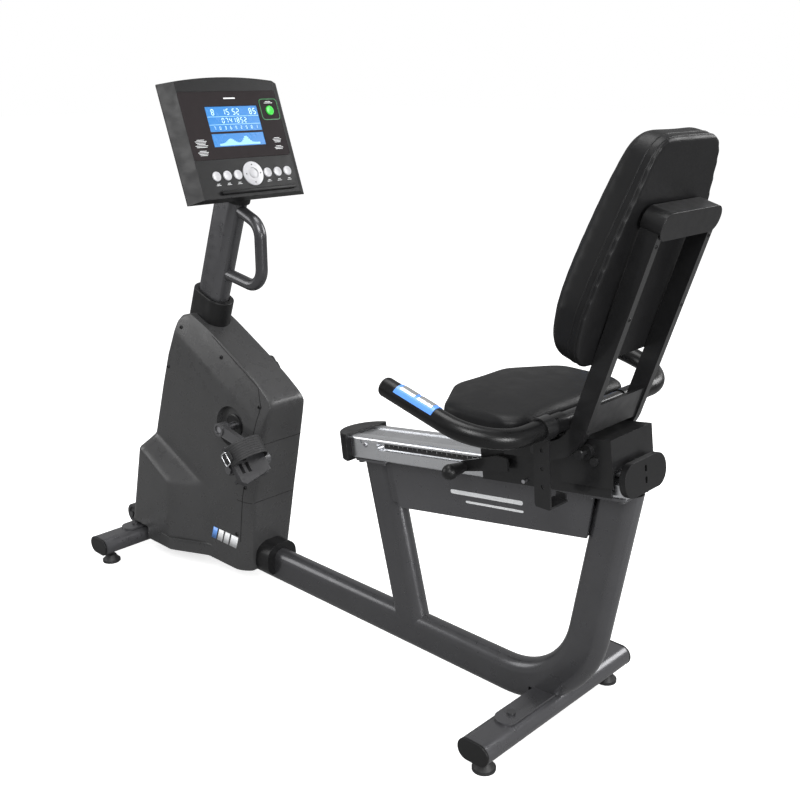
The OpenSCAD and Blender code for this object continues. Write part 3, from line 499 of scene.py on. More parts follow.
def skin_levels(low, high, ledge):
    """Heights of the housing's slices, doubled where the notch over the stabiliser ends."""
    levels = [low + SKIN_STEP * k for k in range(int((high - low) / SKIN_STEP))]
    levels = [z for z in levels if abs(z - ledge) > 2 * MM and z < high - 2 * MM]
    return sorted(levels + [ledge - 0.6 * MM, ledge + 0.6 * MM, high - 1.5 * MM])


def reach(tree, x, z):
    """Half-width of the housing at a spot in its side view, or None outside it."""
    hit = tree.ray_cast(Vector((x, -1, z)), Vector((0, 1, 0)))[0]
    return -hit.y if hit and hit.y < -1e-3 else None


def extent(tree, z, low, high):
    """First and last place along the bike where the housing is met at a height."""
    places = [low + PROBE_STEP * k for k in range(int((high - low) / PROBE_STEP) + 2)]
    met = [x for x in places if reach(tree, x, z)]
    ends = []
    for inside, outside in ((met[0], met[0] - PROBE_STEP), (met[-1], met[-1] + PROBE_STEP)):
        for _ in range(8):
            half = (inside + outside) / 2
            if reach(tree, half, z):
                inside = half
            else:
                outside = half
        ends.append(inside)
    return ends


def blend_between(value, low, high):
    """Smooth step from 0 at low to 1 at high."""
    t = min(1.0, max(0.0, (value - low) / (high - low)))
    return t * t * (3 - 2 * t)


def side_widths(tree, z, start, end):
    """Half-widths along a slice, with the crank's recess and screw holes bridged."""
    places = [start + (end - start) * k / (SIDE_POINTS - 1) for k in range(SIDE_POINTS)]
    widths = []
    for x in places:
        in_dish = math.hypot(x - CRANK.x, z - CRANK.z) < DISH_RADIUS + 6 * MM
        widths.append(None if in_dish else reach(tree, x, z))
    known = [k for k, width in enumerate(widths) if width]
    return places, np.interp(range(SIDE_POINTS), known, [widths[k] for k in known])


def soften_grid(grid, passes):
    """Averages each width with its neighbours up, down and along."""
    grid = np.array(grid)
    for _ in range(passes):
        around = grid[:-2, 1:-1] + grid[2:, 1:-1] + grid[1:-1, :-2] + grid[1:-1, 2:]
        grid[1:-1, 1:-1] = grid[1:-1, 1:-1] * 0.4 + around * 0.15
    return grid


def half_slice(x0, x1, places, widths, front_round, rear_widths):
    """Points of one slice from the front middle, round the side, to the rear middle, as (x, half-width)."""
    first = widths[0]
    front = min(front_round, first * 0.8)
    points = [(x0, (first - front) * k / END_POINTS) for k in range(END_POINTS)]
    for k in range(CORNER_POINTS):
        a = math.pi / 2 * k / CORNER_POINTS
        points.append((x0 + front_round * (1 - math.cos(a)), first - front + front * math.sin(a)))
    points += list(zip(places, widths))
    points += rear_widths
    points += [(x1, rear_widths[-1][1] * (END_POINTS - 1 - k) / END_POINTS) for k in range(END_POINTS)]
    return points


def rear_corner(tree, z, x1, rear_round, last):
    """Half-widths round the rear corner of a slice, closer together towards its end."""
    points = []
    for k in range(REAR_POINTS):
        x = x1 - rear_round * (1 - math.sin(math.pi / 2 * (k + 1) / REAR_POINTS))
        last = min(last, reach(tree, min(x, x1 - 0.4 * MM), z) or last)
        points.append((x, last))
    return points


SEAM_LINE = []      # rear edge of the housing at each height


def build_housing():
    """Both covers as one smooth moulded skin with a recess round the crank and a hollow inside."""
    low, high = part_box("left_cover")
    tree = tree_of("left_cover")
    ledge = middle("front_stabiliser").z + NOTCH_TOP
    levels = skin_levels(low.z + 1 * MM, high.z, ledge)
    slices = []
    grid = []
    for z in levels:
        x0, x1 = extent(tree, z, low.x - 2 * MM, high.x)
        room = (x1 - x0) * 0.4
        tighter = (FRONT_ROUND - UPPER_ROUND) * blend_between(z, *FLARE_TOP)
        front = min(room, FRONT_ROUND - tighter)
        rear = min(room, REAR_ROUND)
        places, widths = side_widths(tree, z, x0 + front, x1 - rear)
        corner = rear_corner(tree, z, x1, rear, widths[-1])
        slices.append((z, x0, x1, places, front, corner))
        grid.append(widths)
        SEAM_LINE.append((x1, z))
    bm = bmesh.new()
    rows = []
    for (z, x0, x1, places, front, corner), widths in zip(slices, soften_grid(grid, 2)):
        half = half_slice(x0, x1, places, widths, front, corner)
        ring = [(x, -w) for x, w in half] + [(x, w) for x, w in reversed(half)][1:-1]
        rows.append(points_of(bm, [(x, y, z) for x, y in ring]))
    bridge(bm, rows)
    bm.faces.new(list(reversed(rows[0])))
    bm.faces.new(rows[-1])
    bmesh.ops.recalc_face_normals(bm, faces=bm.faces)
    skin = piece("drive_housing", bm, "frame", "housing_plastic", "left_cover", "right_cover")
    modified(skin, "SMOOTH", factor=0.5, iterations=1)
    cut_cylinder(skin, DISH_RADIUS, DISH_FLOOR, 200 * MM)
    hollow_out(skin)
    cut_cylinder(skin, HUB_HOLE, 30 * MM, 75 * MM)
    smooth_by_angle(skin, 32)
    return skin


def cut_cylinder(obj, radius, near, far):
    """Takes a round recess out of both sides of the housing, round the crank's axis."""
    bm = bmesh.new()
    for side in (-1, 1):
        centre = Matrix.Translation((CRANK.x, side * (near + far) / 2, CRANK.z))
        bmesh.ops.create_cone(bm, cap_ends=True, segments=72, radius1=radius, radius2=radius,
                              depth=far - near, matrix=centre @ Matrix.Rotation(math.pi / 2, 4, "X"))
    cutter = shown("cutter", bm)
    modified(obj, "BOOLEAN", object=cutter, solver="EXACT")
    applied(obj)
    bpy.data.objects.remove(cutter)


def hollow_out(obj):
    """Opens the housing's underside and gives it a wall."""
    bm = bmesh.new()
    bm.from_mesh(obj.data)
    floor = min(v.co.z for v in bm.verts) + 2 * MM
    under = [f for f in bm.faces if f.normal.z < -0.9 and f.calc_center_median().z < floor]
    bmesh.ops.delete(bm, geom=under, context="FACES")
    bm.to_mesh(obj.data)
    bm.free()
    modified(obj, "SOLIDIFY", thickness=WALL, offset=-1)
    applied(obj)


housing = build_housing()
housing_tree = BVHTree.FromObject(housing, bpy.context.evaluated_depsgraph_get())


def on_housing(x, z, side):
    """A point on the housing's side, and the surface's outward direction there."""
    hit, normal, _, _ = housing_tree.ray_cast(Vector((x, side, z)), Vector((0, -side, 0)))
    return hit, normal


def facing(origin, outward, up=Vector((0, 0, 1))):
    """Matrix with Z along an outward direction and Y as near to up as it can be."""
    z = outward.normalized()
    x = up.cross(z).normalized()
    return placed(x, z.cross(x), z, origin)


def screw_heads(name, spots, radius, body, slot, *nodes):
    """Domed heads with a round socket, one at each (point, outward) spot."""
    bm = bmesh.new()
    profile = ((0, 1), (0.35, 1), (0.62, 0.82), (0.7, 0.55), (0.7, 0.5), (0.2, 0.5))
    for origin, outward in spots:
        place = facing(origin, outward)
        loops = []
        for height, wide in profile:
            circle = [Vector((wide * math.cos(a), wide * math.sin(a), height)) for a in full_turn(36)]
            loops.append(points_of(bm, [place @ (point * radius) for point in circle]))
        bridge(bm, loops)
        bm.faces.new(loops[-1])
    return piece(name, bm, body, slot, *nodes, smooth=35)


def island_centres(node):
    """Centres of the separate solids in a CAD node."""
    bm = merged(node)
    left, centres = set(bm.verts), []
    while left:
        stack, group = [left.pop()], []
        while stack:
            vertex = stack.pop()
            group.append(vertex.co.copy())
            for edge in vertex.link_edges:
                other = edge.other_vert(vertex)
                if other in left:
                    left.remove(other)
                    stack.append(other)
        low, high = box_of(group)
        centres.append((low + high) / 2)
    bm.free()
    return centres


def build_housing_details():
    """Screws, crank seals, panel gaps and the plain emblem."""
    spots = []
    for centre in island_centres("cover_screws"):
        side = 1 if centre.y > 0 else -1
        hit, normal = on_housing(centre.x, centre.z, side)
        spots.append((hit - normal * 0.6 * MM, normal))
    screw_heads("housing_screws", spots, 5.2 * MM, "frame", "black_plastic", "cover_screws")
    for side, label in ((-1, "left"), (1, "right")):
        hub = Vector((CRANK.x, side * DISH_FLOOR, CRANK.z))
        seal = [(0, 30 * MM), (3 * MM, 30 * MM), (5 * MM, 27 * MM), (5 * MM, 24 * MM)]
        lathe("crank_seal_" + label, seal, hub, Vector((0, side, 0)), "frame", "black_plastic")
        panel_edge(side, label)
        emblem(side, label)
    for index, height in enumerate((0.425, 0.258)):
        rear_seam(index + 1, height)


def panel_edge(side, label):
    """Gap where a side panel meets the ridge and the rear of the housing."""
    points = []
    slope = math.tan(RIDGE_SLOPE)
    top_x = FRONT_X + 300 * MM
    top_z = 715 * MM - 88 * MM * slope
    for k in range(26):
        step = k * 7 * MM
        hit = on_housing(top_x + step, top_z - step * slope, side)[0]
        if hit:
            points.append(hit)
    for x1, z in reversed(SEAM_LINE):
        if 0.14 < z < points[0].z - 140 * MM:
            hit = on_housing(x1 - 30 * MM, z, side)[0]
            if hit:
                points.append(hit)
    gap("panel_edge_" + label, points, 0.9 * MM)


def gap(name, points, radius):
    """Dark line where two mouldings meet."""
    tube(name, points, radius, "frame", "black_plastic", closed=False, material=SEAM_SHADOW)


def rear_seam(number, height):
    """Horizontal joint round the rear of the housing."""
    x1 = min(SEAM_LINE, key=lambda spot: abs(spot[1] - height))[0]
    centre = Vector((x1 - REAR_ROUND, 0, height))
    points = []
    for k in range(41):
        a = math.radians(-88 + 4.4 * k)
        away = Vector((math.cos(a), math.sin(a), 0))
        hit = housing_tree.ray_cast(centre + away * 0.4, -away)[0]
        if hit:
            points.append(hit)
    gap(f"rear_seam_{number}", points, 0.7 * MM)


def emblem(side, label):
    """Plain two-tone mark low on the housing's side, laid on its surface."""
    centre_x, centre_z = FRONT_X + 345 * MM, 134 * MM
    columns = 12
    lean = 0.35
    for start, end, material, name in ((-52, -34, PRINT_BLUE, "blue"), (-28, -8, PRINT_WHITE, "first"),
                                       (-2, 18, PRINT_WHITE, "second"), (24, 52, PRINT_WHITE, "third")):
        bm = bmesh.new()
        rows = []
        for lift in (-17, 17):
            row = []
            for k in range(columns + 1):
                x = centre_x + (start + (end - start) * k / columns + lift * lean) * MM
                hit, normal = on_housing(x, centre_z + lift * MM, side)
                row.append(bm.verts.new(hit + normal * 0.5 * MM))
            rows.append(row)
        for k in range(columns):
            bm.faces.new((rows[0][k], rows[0][k + 1], rows[1][k + 1], rows[1][k]))
        obj = piece(f"emblem_{name}_{label}", bm, "frame", "housing_plastic", material=material, smooth=40)
        modified(obj, "SOLIDIFY", thickness=0.5 * MM, offset=0)
        applied(obj)


build_housing_details()


# ---------- cushions ----------

SWELL_PASSES = 160
CLOTH_FRAMES = 20
VOXEL = 5 * MM
BACK_RECLINE = math.radians(16.2)


def spread_swell(obj, before, cap):
    """Limits how far each point has swelled and evens the swelling out, so the cover stays taut."""
    mesh = obj.data
    start = np.array(before)
    moves = np.array([vertex.co for vertex in mesh.vertices]) - start
    lengths = np.linalg.norm(moves, axis=1, keepdims=True)
    moves *= np.minimum(1, cap / np.maximum(lengths, 1e-9))
    first, second = np.array([tuple(edge.vertices) for edge in mesh.edges]).T
    share = 2 + np.bincount(first, minlength=len(start)) + np.bincount(second, minlength=len(start))
    for _ in range(SWELL_PASSES):
        total = 2 * moves
        np.add.at(total, first, moves[second])
        np.add.at(total, second, moves[first])
        moves = total / share[:, None]
    for vertex, place in zip(mesh.vertices, start + moves):
        vertex.co = place


def swollen(obj, held_points, pressure):
    """Blows a closed cover up as cloth, with some points held."""
    held = obj.vertex_groups.new(name="held")
    held.add(held_points, 1.0, "REPLACE")
    cloth = modified(obj, "CLOTH")
    settings = dict(quality=5, mass=0.3, tension_stiffness=25, compression_stiffness=25, shear_stiffness=15,
                    bending_stiffness=4, use_pressure=True, uniform_pressure_force=pressure,
                    vertex_group_mass="held")
    for key, value in settings.items():
        setattr(cloth.settings, key, value)
    cloth.settings.effector_weights.gravity = 0
    cloth.point_cache.frame_start = 1
    cloth.point_cache.frame_end = CLOTH_FRAMES
    scene = bpy.context.scene
    for number in range(1, CLOTH_FRAMES + 1):
        scene.frame_set(number)
    applied(obj)
    scene.frame_set(1)


def inflated(node, stand, shrink, flat_from, cap):
    """Cloth-simulated copy of a cushion. stand puts the cushion on its flat side; points near that side are
    held, and the rest swells by at most cap."""
    bm = cleaned(node)
    bm.transform(stand.inverted())
    low, high = box_of([v.co for v in bm.verts])
    centre = (low + high) / 2
    for v in bm.verts:
        v.co.x = centre.x + (v.co.x - centre.x) * shrink[0]
        v.co.y = centre.y + (v.co.y - centre.y) * shrink[1]
        v.co.z = low.z + (v.co.z - low.z) * shrink[2]
    obj = piece(node + "_upholstery", bm, BODY_OF[node], "vinyl", node)
    modified(obj, "REMESH", mode="VOXEL", voxel_size=VOXEL)
    modified(obj, "SMOOTH", iterations=8)
    applied(obj)
    before = [v.co.copy() for v in obj.data.vertices]
    swollen(obj, [k for k, p in enumerate(before) if p.z < low.z + flat_from], 4.0)
    spread_swell(obj, before, cap)
    modified(obj, "SUBSURF", levels=1, render_levels=1)
    applied(obj)
    obj.data.transform(stand)
    obj.data.materials.clear()
    obj.data.materials.append(MATERIALS["vinyl"])
    obj.data.shade_smooth()
    return obj


def outline_at(obj, stand, height):
    """Loop of points just inside a cushion's surface, round it at a height in its own frame."""
    tree = BVHTree.FromObject(obj, bpy.context.evaluated_depsgraph_get())
    inverse = stand.inverted()
    corners = [inverse @ Vector(c) for c in obj.bound_box]
    centre = sum(corners, Vector()) / 8
    points = []
    for a in full_turn(160):
        away = Vector((math.cos(a), math.sin(a), 0))
        start = stand @ (Vector((centre.x, centre.y, height)) + away * 0.6)
        direction = (stand.to_3x3() @ -away).normalized()
        hit = tree.ray_cast(start, direction)[0]
        if hit:
            points.append(hit + direction * 0.6 * MM)
    return points


def build_seat():
    """Seat cushion with two seams round its side, on its board."""
    low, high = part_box("seat_cushion")
    stand = Matrix.Translation(((low.x + high.x) / 2, 0, low.z))
    seat = inflated("seat_cushion", stand, (0.99, 0.99, 0.94), 5 * MM, 10 * MM)
    seams("seat_seam", seat, stand, (9 * MM, 17 * MM), 1.5 * MM)
    softened("seat_pan", 5 * MM)


def seams(name, cushion, stand, heights, radius):
    """Sewn cords round a cushion at some heights above its flat side."""
    for index, height in enumerate(heights):
        tube(f"{name}_{index + 1}", outline_at(cushion, stand, height), radius, "seat", "vinyl")


def fill_out(obj, stand, wider, thicker):
    """Gives a cushion a fuller middle: rounder sides and a deeper front half-way up."""
    inverse = stand.inverted()
    heights = [(inverse @ v.co).x for v in obj.data.vertices]
    foot, head = min(heights), max(heights)
    for vertex, height in zip(obj.data.vertices, heights):
        share = math.sin(math.pi * (height - foot) / (head - foot))
        local = inverse @ vertex.co
        local.y *= 1 + wider * share
        local.z *= 1 + thicker * share
        vertex.co = stand @ local


def back_stand():
    """Matrix that stands the back cushion's flat rear face on its own ground plane."""
    up = Vector((math.sin(BACK_RECLINE), 0, math.cos(BACK_RECLINE)))
    forward = Vector((-math.cos(BACK_RECLINE), 0, math.sin(BACK_RECLINE)))
    rear = span_along("back_cushion", forward)[0]
    foot = span_along("back_cushion", up)[0]
    return placed(up, Vector((0, -1, 0)), forward, forward * rear + up * foot)


def build_back():
    """Back cushion with two seams near its rear edge."""
    stand = back_stand()
    back = inflated("back_cushion", stand, (0.995, 0.99, 0.95), 6 * MM, 22 * MM)
    fill_out(back, stand, 0.1, 0.2)
    seams("back_seam", back, stand, (7 * MM, 19 * MM), 1.6 * MM)


build_seat()
build_back()


# ---------- console ----------

# The display's middle is 31.7 mm up from the face's centre, and 4 mm behind its surface
DISPLAY_UP = 31.7 * MM
FACE_MIDDLE = middle("lcd_display") + FACE_NORMAL * 4 * MM - FACE_UP * DISPLAY_UP
DISPLAY_WIDTH = 153 * MM
DISPLAY_HEIGHT = 95 * MM
DISPLAY_OUT = -0.9 * MM     # ink on the display, measured from the face
PRINT_OUT = 0.35 * MM       # print on the panel, measured from the face


def on_face(y, up, out=0.0):
    """Matrix of a spot on the console's face: X runs to the rider's right, Y up the face, Z outward."""
    origin = FACE_MIDDLE + FACE_UP * up + FACE_NORMAL * out + Vector((0, y, 0))
    return placed(Vector((0, 1, 0)), FACE_UP, FACE_NORMAL, origin)


def height_on_face(point):
    """How far up the console's face a point lies."""
    return (point - FACE_MIDDLE).dot(FACE_UP)


def face_plate(name, y, up, width, height, radius, material, out=0.0, thickness=0.4 * MM, slot="panel_face"):
    """Thin rounded plate on the console's face."""
    outline = rounded_rectangle(width, height, radius)
    return plate(name, outline, on_face(y, up, out), thickness, "frame", slot, material)


def face_ring(name, y, up, width, height, radius, line, material):
    """Thin outline round a place on the console's face."""
    outer = rounded_rectangle(width, height, radius)
    inner = rounded_rectangle(width - 2 * line, height - 2 * line, max(radius - line, 0.3 * MM))
    thickness = 0.4 * MM
    bm = bmesh.new()
    loops = []
    for path, lift in ((inner, 0), (inner, thickness), (outer, thickness), (outer, 0)):
        loops.append(points_of(bm, [(along, rise, lift) for along, rise in path]))
    bridge(bm, loops)
    bmesh.ops.recalc_face_normals(bm, faces=bm.faces)
    bm.transform(on_face(y, up, PRINT_OUT))
    return piece(name, bm, "frame", "panel_face", material=material)


SEGMENTS = {"0": "abcdef", "1": "bc", "2": "abged", "3": "abgcd", "4": "fgbc", "5": "afgcd", "6": "afgedc",
            "7": "abc", "8": "abcdefg", "9": "abcfgd"}


def digit(name, value, y, up, height):
    """Seven-segment digit on the display."""
    width, bar = height * 0.5, height * 0.13
    strokes = {"a": (0, 1, True), "b": (1, 0.5, False), "c": (1, -0.5, False), "d": (0, -1, True),
               "e": (-1, -0.5, False), "f": (-1, 0.5, False), "g": (0, 0, True)}
    bm = bmesh.new()
    for letter in SEGMENTS[value]:
        across, rise, flat = strokes[letter]
        w = (width - bar) / 2 if flat else bar / 2
        h = bar / 2 if flat else (height / 2 - bar) / 2
        cx, cy = across * width / 2, rise * height / 2
        box = ((cx - w, cy - h), (cx + w, cy - h), (cx + w, cy + h), (cx - w, cy + h))
        bm.faces.new(points_of(bm, [(*corner, 0) for corner in box]))
    bm.transform(on_face(y, up, DISPLAY_OUT + 0.2 * MM))
    return piece(name, bm, "frame", "screen", material=SCREEN_INK)


def build_display():
    """Lit window with rules, rows of made-up digits and a bar chart."""
    top = DISPLAY_UP + DISPLAY_HEIGHT / 2
    face_plate("display_window", 0, DISPLAY_UP, DISPLAY_WIDTH, DISPLAY_HEIGHT, 1 * MM, MATERIALS["screen"],
               DISPLAY_OUT - 0.3 * MM, 0.3 * MM, "screen")
    face_plate("display_band", 0, top - 62 * MM, DISPLAY_WIDTH, 5 * MM, 0.4 * MM, MATERIALS["panel_face"],
               DISPLAY_OUT)
    for index, drop in enumerate((24, 43)):
        face_plate(f"display_rule_{index}", 0, top - drop * MM, 150 * MM, 1.2 * MM, 0.3 * MM, SCREEN_PALE,
                   DISPLAY_OUT)
    digit_row("digit", "5825518", (66, 54, 16, 4, -14, -26, -58), top - 13 * MM, 13 * MM)
    digit_row("row", "2581470", [33 - 11 * k for k in range(7)], top - 33.5 * MM, 11 * MM)
    digit_row("small", "185296307", [62 - 15.5 * k for k in range(9)], top - 51 * MM, 7 * MM)
    bar_chart(top - 93 * MM)


def digit_row(name, text, places, up, height):
    """Digits of one height at some places across the display, in millimetres from its middle."""
    for index, (value, y) in enumerate(zip(text, places)):
        digit(f"display_{name}_{index}", value, y * MM, up, height)


def bar_chart(foot):
    """Thirty bars with two hills, as a workout profile."""
    columns = 30
    half_width = 58 * MM
    for index in range(columns):
        t = index / (columns - 1)
        first_hill = 11 * math.exp(-((t - 0.28) / 0.12) ** 2)
        second_hill = 16 * math.exp(-((t - 0.68) / 0.1) ** 2)
        rise = (5 + first_hill + second_hill) * MM
        y = half_width * (2 * t - 1)
        face_plate(f"display_bar_{index}", y, foot + rise / 2, 3.7 * MM, rise, 0.3 * MM, SCREEN_PALE,
                   DISPLAY_OUT)


def text_lines(name, y, up, count, width):
    """Rows of short dashes that stand for printed instructions, with no lettering."""
    pitch = 3.4 * MM
    for row in range(count):
        wide = width * (0.55 + 0.45 * ((row * 37) % 10) / 10)
        face_plate(f"{name}_{row}", y, up - row * pitch, wide, 1.1 * MM, 0.4 * MM, PRINT_WHITE, PRINT_OUT,
                   0.3 * MM)


def build_console():
    """Console shells, display, printed marks, buttons and book ledge."""
    softened("console_housing", 1.3 * MM, angle=20)
    softened("console_back", 0.8 * MM, angle=20)
    softened("console_panel", 0.3 * MM, segments=1)
    console_joint()
    build_display()
    face_plate("panel_mark", 0, 98 * MM, 34 * MM, 3 * MM, 1.2 * MM, PRINT_WHITE, PRINT_OUT)
    start = middle("start_button")
    start_up = height_on_face(start)
    face_ring("start_outline", start.y, start_up + 3 * MM, 56 * MM, 52 * MM, 9 * MM, 1.6 * MM, PRINT_GREEN)
    text_lines("start_caption", start.y, start_up + 22 * MM, 2, 30 * MM)
    aside = 113 * MM
    for name, y, up, count, width in (("left", aside, -2, 4, 30), ("left_low", aside, -22, 3, 30),
                                      ("right", -aside, 2, 6, 38), ("right_low", -aside, -24, 4, 34)):
        text_lines("hint_" + name, y, up * MM, count, width * MM)
    build_buttons()
    ledge()


def console_joint():
    """Recessed band that closes the joint between the console's face moulding and its back."""
    front = span_along("console_back", FACE_NORMAL)[1]
    vertices = frame["nodes"]["console_back"].data.vertices
    rim = [v.co.copy() for v in vertices if abs(v.co.dot(FACE_NORMAL) - front) < 0.2 * MM]
    centre = sum(rim, Vector()) / len(rim)
    bm = bmesh.new()
    for point in rim:
        inward = centre + (point - centre) * 0.994
        for lift in (-1.2 * MM, 3.2 * MM):
            bm.verts.new(inward + FACE_NORMAL * lift)
    hull = bmesh.ops.convex_hull(bm, input=bm.verts)
    bmesh.ops.delete(bm, geom=hull["geom_interior"], context="VERTS")
    return piece("console_joint", bm, "frame", "console_plastic", smooth=30)


def build_buttons():
    """All eight push buttons, with printed dashes under the small ones."""
    names = [f"keypad_button_{k}" for k in range(1, 7)]
    for node in names + ["start_button", "control_button"]:
        dished_button(node)
    for node in names:
        spot = middle(node)
        text_lines(node + "_caption", spot.y, height_on_face(spot) - 18 * MM, 2, 15 * MM)


def dished_button(node):
    """Push button with a rounded rim and a shallow dish; the large one has a ring and arrows."""
    low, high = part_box(node)
    centre = middle(node)
    radius = (high.y - low.y) / 2
    back, front = span_along(node, FACE_NORMAL)
    origin = centre + FACE_NORMAL * (back - centre.dot(FACE_NORMAL))
    depth = front - back
    rim = 1.1 * MM
    edge = [(0, radius), (depth - rim, radius), (depth - 0.3 * rim, radius - 0.3 * rim),
            (depth, radius - rim)]
    dish = [(0, 0.82), (0.5 * MM, 0.6), (0.8 * MM, 0.3)]
    groove = [(0, 0.5), (2.2 * MM, 0.46), (2.2 * MM, 0.36), (0.4 * MM, 0.33), (0, 0.26)]
    large = node == "control_button"
    profile = edge + [(depth - sunk, radius * share) for sunk, share in (groove if large else dish)]
    profile.append((profile[-1][0], 0.2 * MM))
    lathe(node + "_cap", profile, origin, FACE_NORMAL, BODY_OF[node], SLOT_OF[node], node)
    if large:
        spot = centre + FACE_NORMAL * (front + 0.1 * MM - centre.dot(FACE_NORMAL))
        for quarter in range(4):
            arrow(f"control_arrow_{quarter + 1}", spot, quarter * math.pi / 2, radius * 0.74)


def arrow(name, spot, angle, distance):
    """Small direction mark on the control button."""
    local = Matrix.Rotation(angle, 4, "Z")
    bm = bmesh.new()
    tips = [Vector((x * MM, distance + y * MM, 0)) for x, y in ((-2.6, -1.6), (2.6, -1.6), (0, 2.2))]
    bm.faces.new(points_of(bm, [local @ tip for tip in tips]))
    bm.transform(placed(Vector((0, 1, 0)), FACE_UP, FACE_NORMAL, spot))
    return piece(name, bm, "control", "button_silver", material=MATERIALS["console_plastic"])


def ledge():
    """Lip along the console's foot that stops a book from sliding off."""
    outline = rounded_rectangle(224 * MM, 9 * MM, 4 * MM)
    plate("reading_ledge", outline, on_face(19 * MM, -124 * MM, -1 * MM), 8 * MM, "frame", "console_plastic",
          edge=2 * MM)


build_console()


# ---------- rail, hand rails, pedals ----------

def build_rail():
    """Rail and caps with rounded edges, tick marks on the rulers and a screw in each side."""
    softened("rail_front_cap", 5 * MM, segments=4)
    softened("rail_rear_cap", 3 * MM, segments=3)
    softened("seat_rail", 1.4 * MM, segments=2)
    ruler_ticks()
    low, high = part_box("seat_rail")
    x = low.x + 8 * MM
    top = high.z - (high.x - x) * RAIL_DIRECTION.z / RAIL_DIRECTION.x
    spots = []
    for side in (-1, 1):
        spot = Vector((x, side * (high.y - 0.8 * MM), top)) + RAIL_DIRECTION * 40 * MM - RAIL_NORMAL * 16 * MM
        spots.append((spot, Vector((0, side, 0))))
    screw_heads("rail_screws", spots, 6 * MM, "frame", "steel")


def ruler_ticks():
    """Long and short marks along both ruler strips."""
    low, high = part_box("ruler_strips")
    strip = middle("ruler_strips")
    length = (high.x - low.x) / RAIL_DIRECTION.x
    spacing = 14 * MM
    margin = 15 * MM
    half_wide = 0.45 * MM
    bm = bmesh.new()
    for side in (-1, 1):
        face = side * (high.y + 0.1 * MM)
        for k in range(int((length - 20 * MM) / spacing)):
            half_tall = 2.5 * MM if k % 2 == 0 else 1.3 * MM
            centre = Vector((strip.x, face, strip.z)) + RAIL_DIRECTION * (margin + spacing * k - length / 2)
            centre += RAIL_NORMAL * (4.6 * MM - half_tall)
            across = RAIL_DIRECTION * half_wide * -side
            rise = RAIL_NORMAL * half_tall
            corners = (centre - across - rise, centre + across - rise, centre + across + rise,
                       centre - across + rise)
            bm.faces.new(points_of(bm, corners))
    piece("ruler_ticks", bm, "frame", "ruler_black", material=PRINT_WHITE)


PEDAL_TILT = math.radians(48.6)


def ribbed_strap(node, body, side):
    """Rubber strap over the toe with ribs along it and a buckle at its outer end."""
    softened(node, 1.2 * MM, segments=2)
    low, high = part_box(node)
    tilt = Matrix.Rotation(PEDAL_TILT, 3, "Y")
    heel, out = tilt @ Vector((1, 0, 0)), tilt @ Vector((0, 0, 1))
    heel_low, heel_high = span_along(node, heel)
    out_low, out_high = span_along(node, out)
    half, height = (high.y - low.y) / 2, out_high - out_low
    middle_y = (low.y + high.y) / 2
    ribs = 7
    for index in range(ribs):
        along = heel_low + (heel_high - heel_low) * (index + 1) / (ribs + 1)
        points = []
        for k in range(25):
            a = math.pi * k / 24
            flat = (half - height) * max(-1, min(1, math.cos(a) * 8))
            across = Vector((0, middle_y + flat + height * math.cos(a), 0))
            points.append(heel * along + out * (out_low + height * math.sin(a)) + across)
        tube(f"{node}_rib_{index + 1}", points, 0.9 * MM, body, "strap_rubber", closed=False, sides=2)
    edge_y = middle_y + side * (half + 1 * MM)
    spot = heel * (heel_low + heel_high) / 2 + out * (out_low + 10 * MM) + Vector((0, edge_y, 0))
    place = placed(heel, out, Vector((0, side, 0)), spot)
    ring = rounded_rectangle(30 * MM, 20 * MM, 4 * MM)
    wire = [place @ Vector((x, y - 14 * MM, 2.5 * MM)) for x, y in ring]
    tube(f"{node}_buckle", wire, 1.7 * MM, body, "sensor_steel")
    tail = place @ Matrix.Translation((0, -12 * MM, -0.6 * MM))
    plate(f"{node}_tail", rounded_rectangle(22 * MM, 40 * MM, 4 * MM), tail, 2 * MM, body, "strap_rubber",
          edge=0.6 * MM)


def build_pedals():
    """Pedals and their straps."""
    for node, strap, body, side in (("left_pedal", "left_pedal_strap", "left_foot_pedal", -1),
                                    ("right_pedal", "right_pedal_strap", "right_foot_pedal", 1)):
        softened(node, 1.6 * MM, segments=2)
        ribbed_strap(strap, body, side)


def build_softened_parts():
    """Moulded and bent parts whose CAD shape is right but whose edges need a radius."""
    for node, radius in (("tube_boot", 5), ("post_collar", 3), ("stabiliser_end_caps", 2.5), ("back_cap", 4),
                         ("seat_carriage", 1.6), ("back_frame", 2.2), ("accessory_bracket", 1.0),
                         ("left_crank_arm", 1.8), ("right_crank_arm", 1.8), ("release_lever", 1.0),
                         ("left_transport_wheel", 1.5), ("right_transport_wheel", 1.5)):
        softened(node, radius * MM)


def gusset_stripes():
    """Two plain pale stripes on the left plate under the rail, in place of any lettering."""
    centre = Vector((REAR_X - 160 * MM, -29.2 * MM, 462 * MM))
    slope = math.radians(8)
    along = Vector((math.cos(slope), 0, math.sin(slope)))
    up = Vector((-along.z, 0, along.x))
    longest = 190 * MM
    for index, (rise, length, tall) in enumerate(((9 * MM, longest, 9 * MM), (-9 * MM, 150 * MM, 5 * MM))):
        spot = centre + up * rise + along * (longest - length) / 2
        plate(f"frame_stripe_{index + 1}", rounded_rectangle(length, tall, tall * 0.45),
              placed(along, up, Vector((0, -1, 0)), spot), 0.4 * MM, "frame", "frame_paint", PRINT_WHITE)


def back_bar_screws():
    """Small screws in the rear faces of the bars behind the back."""
    lean = math.radians(17.6)
    out = Vector((math.cos(lean), 0, -math.sin(lean)))
    bar_tree = tree_of("back_frame")
    bar_y = 87 * MM
    spots = []
    for side in (-1, 1):
        for height in (1.032, 0.905):
            face = bar_tree.ray_cast(Vector((1.5, side * bar_y, height)), Vector((-1, 0, 0)))[0]
            spots.append((face - out * 1.6 * MM, out))
    screw_heads("back_bar_screws", spots, 4 * MM, "seat", "black_plastic")


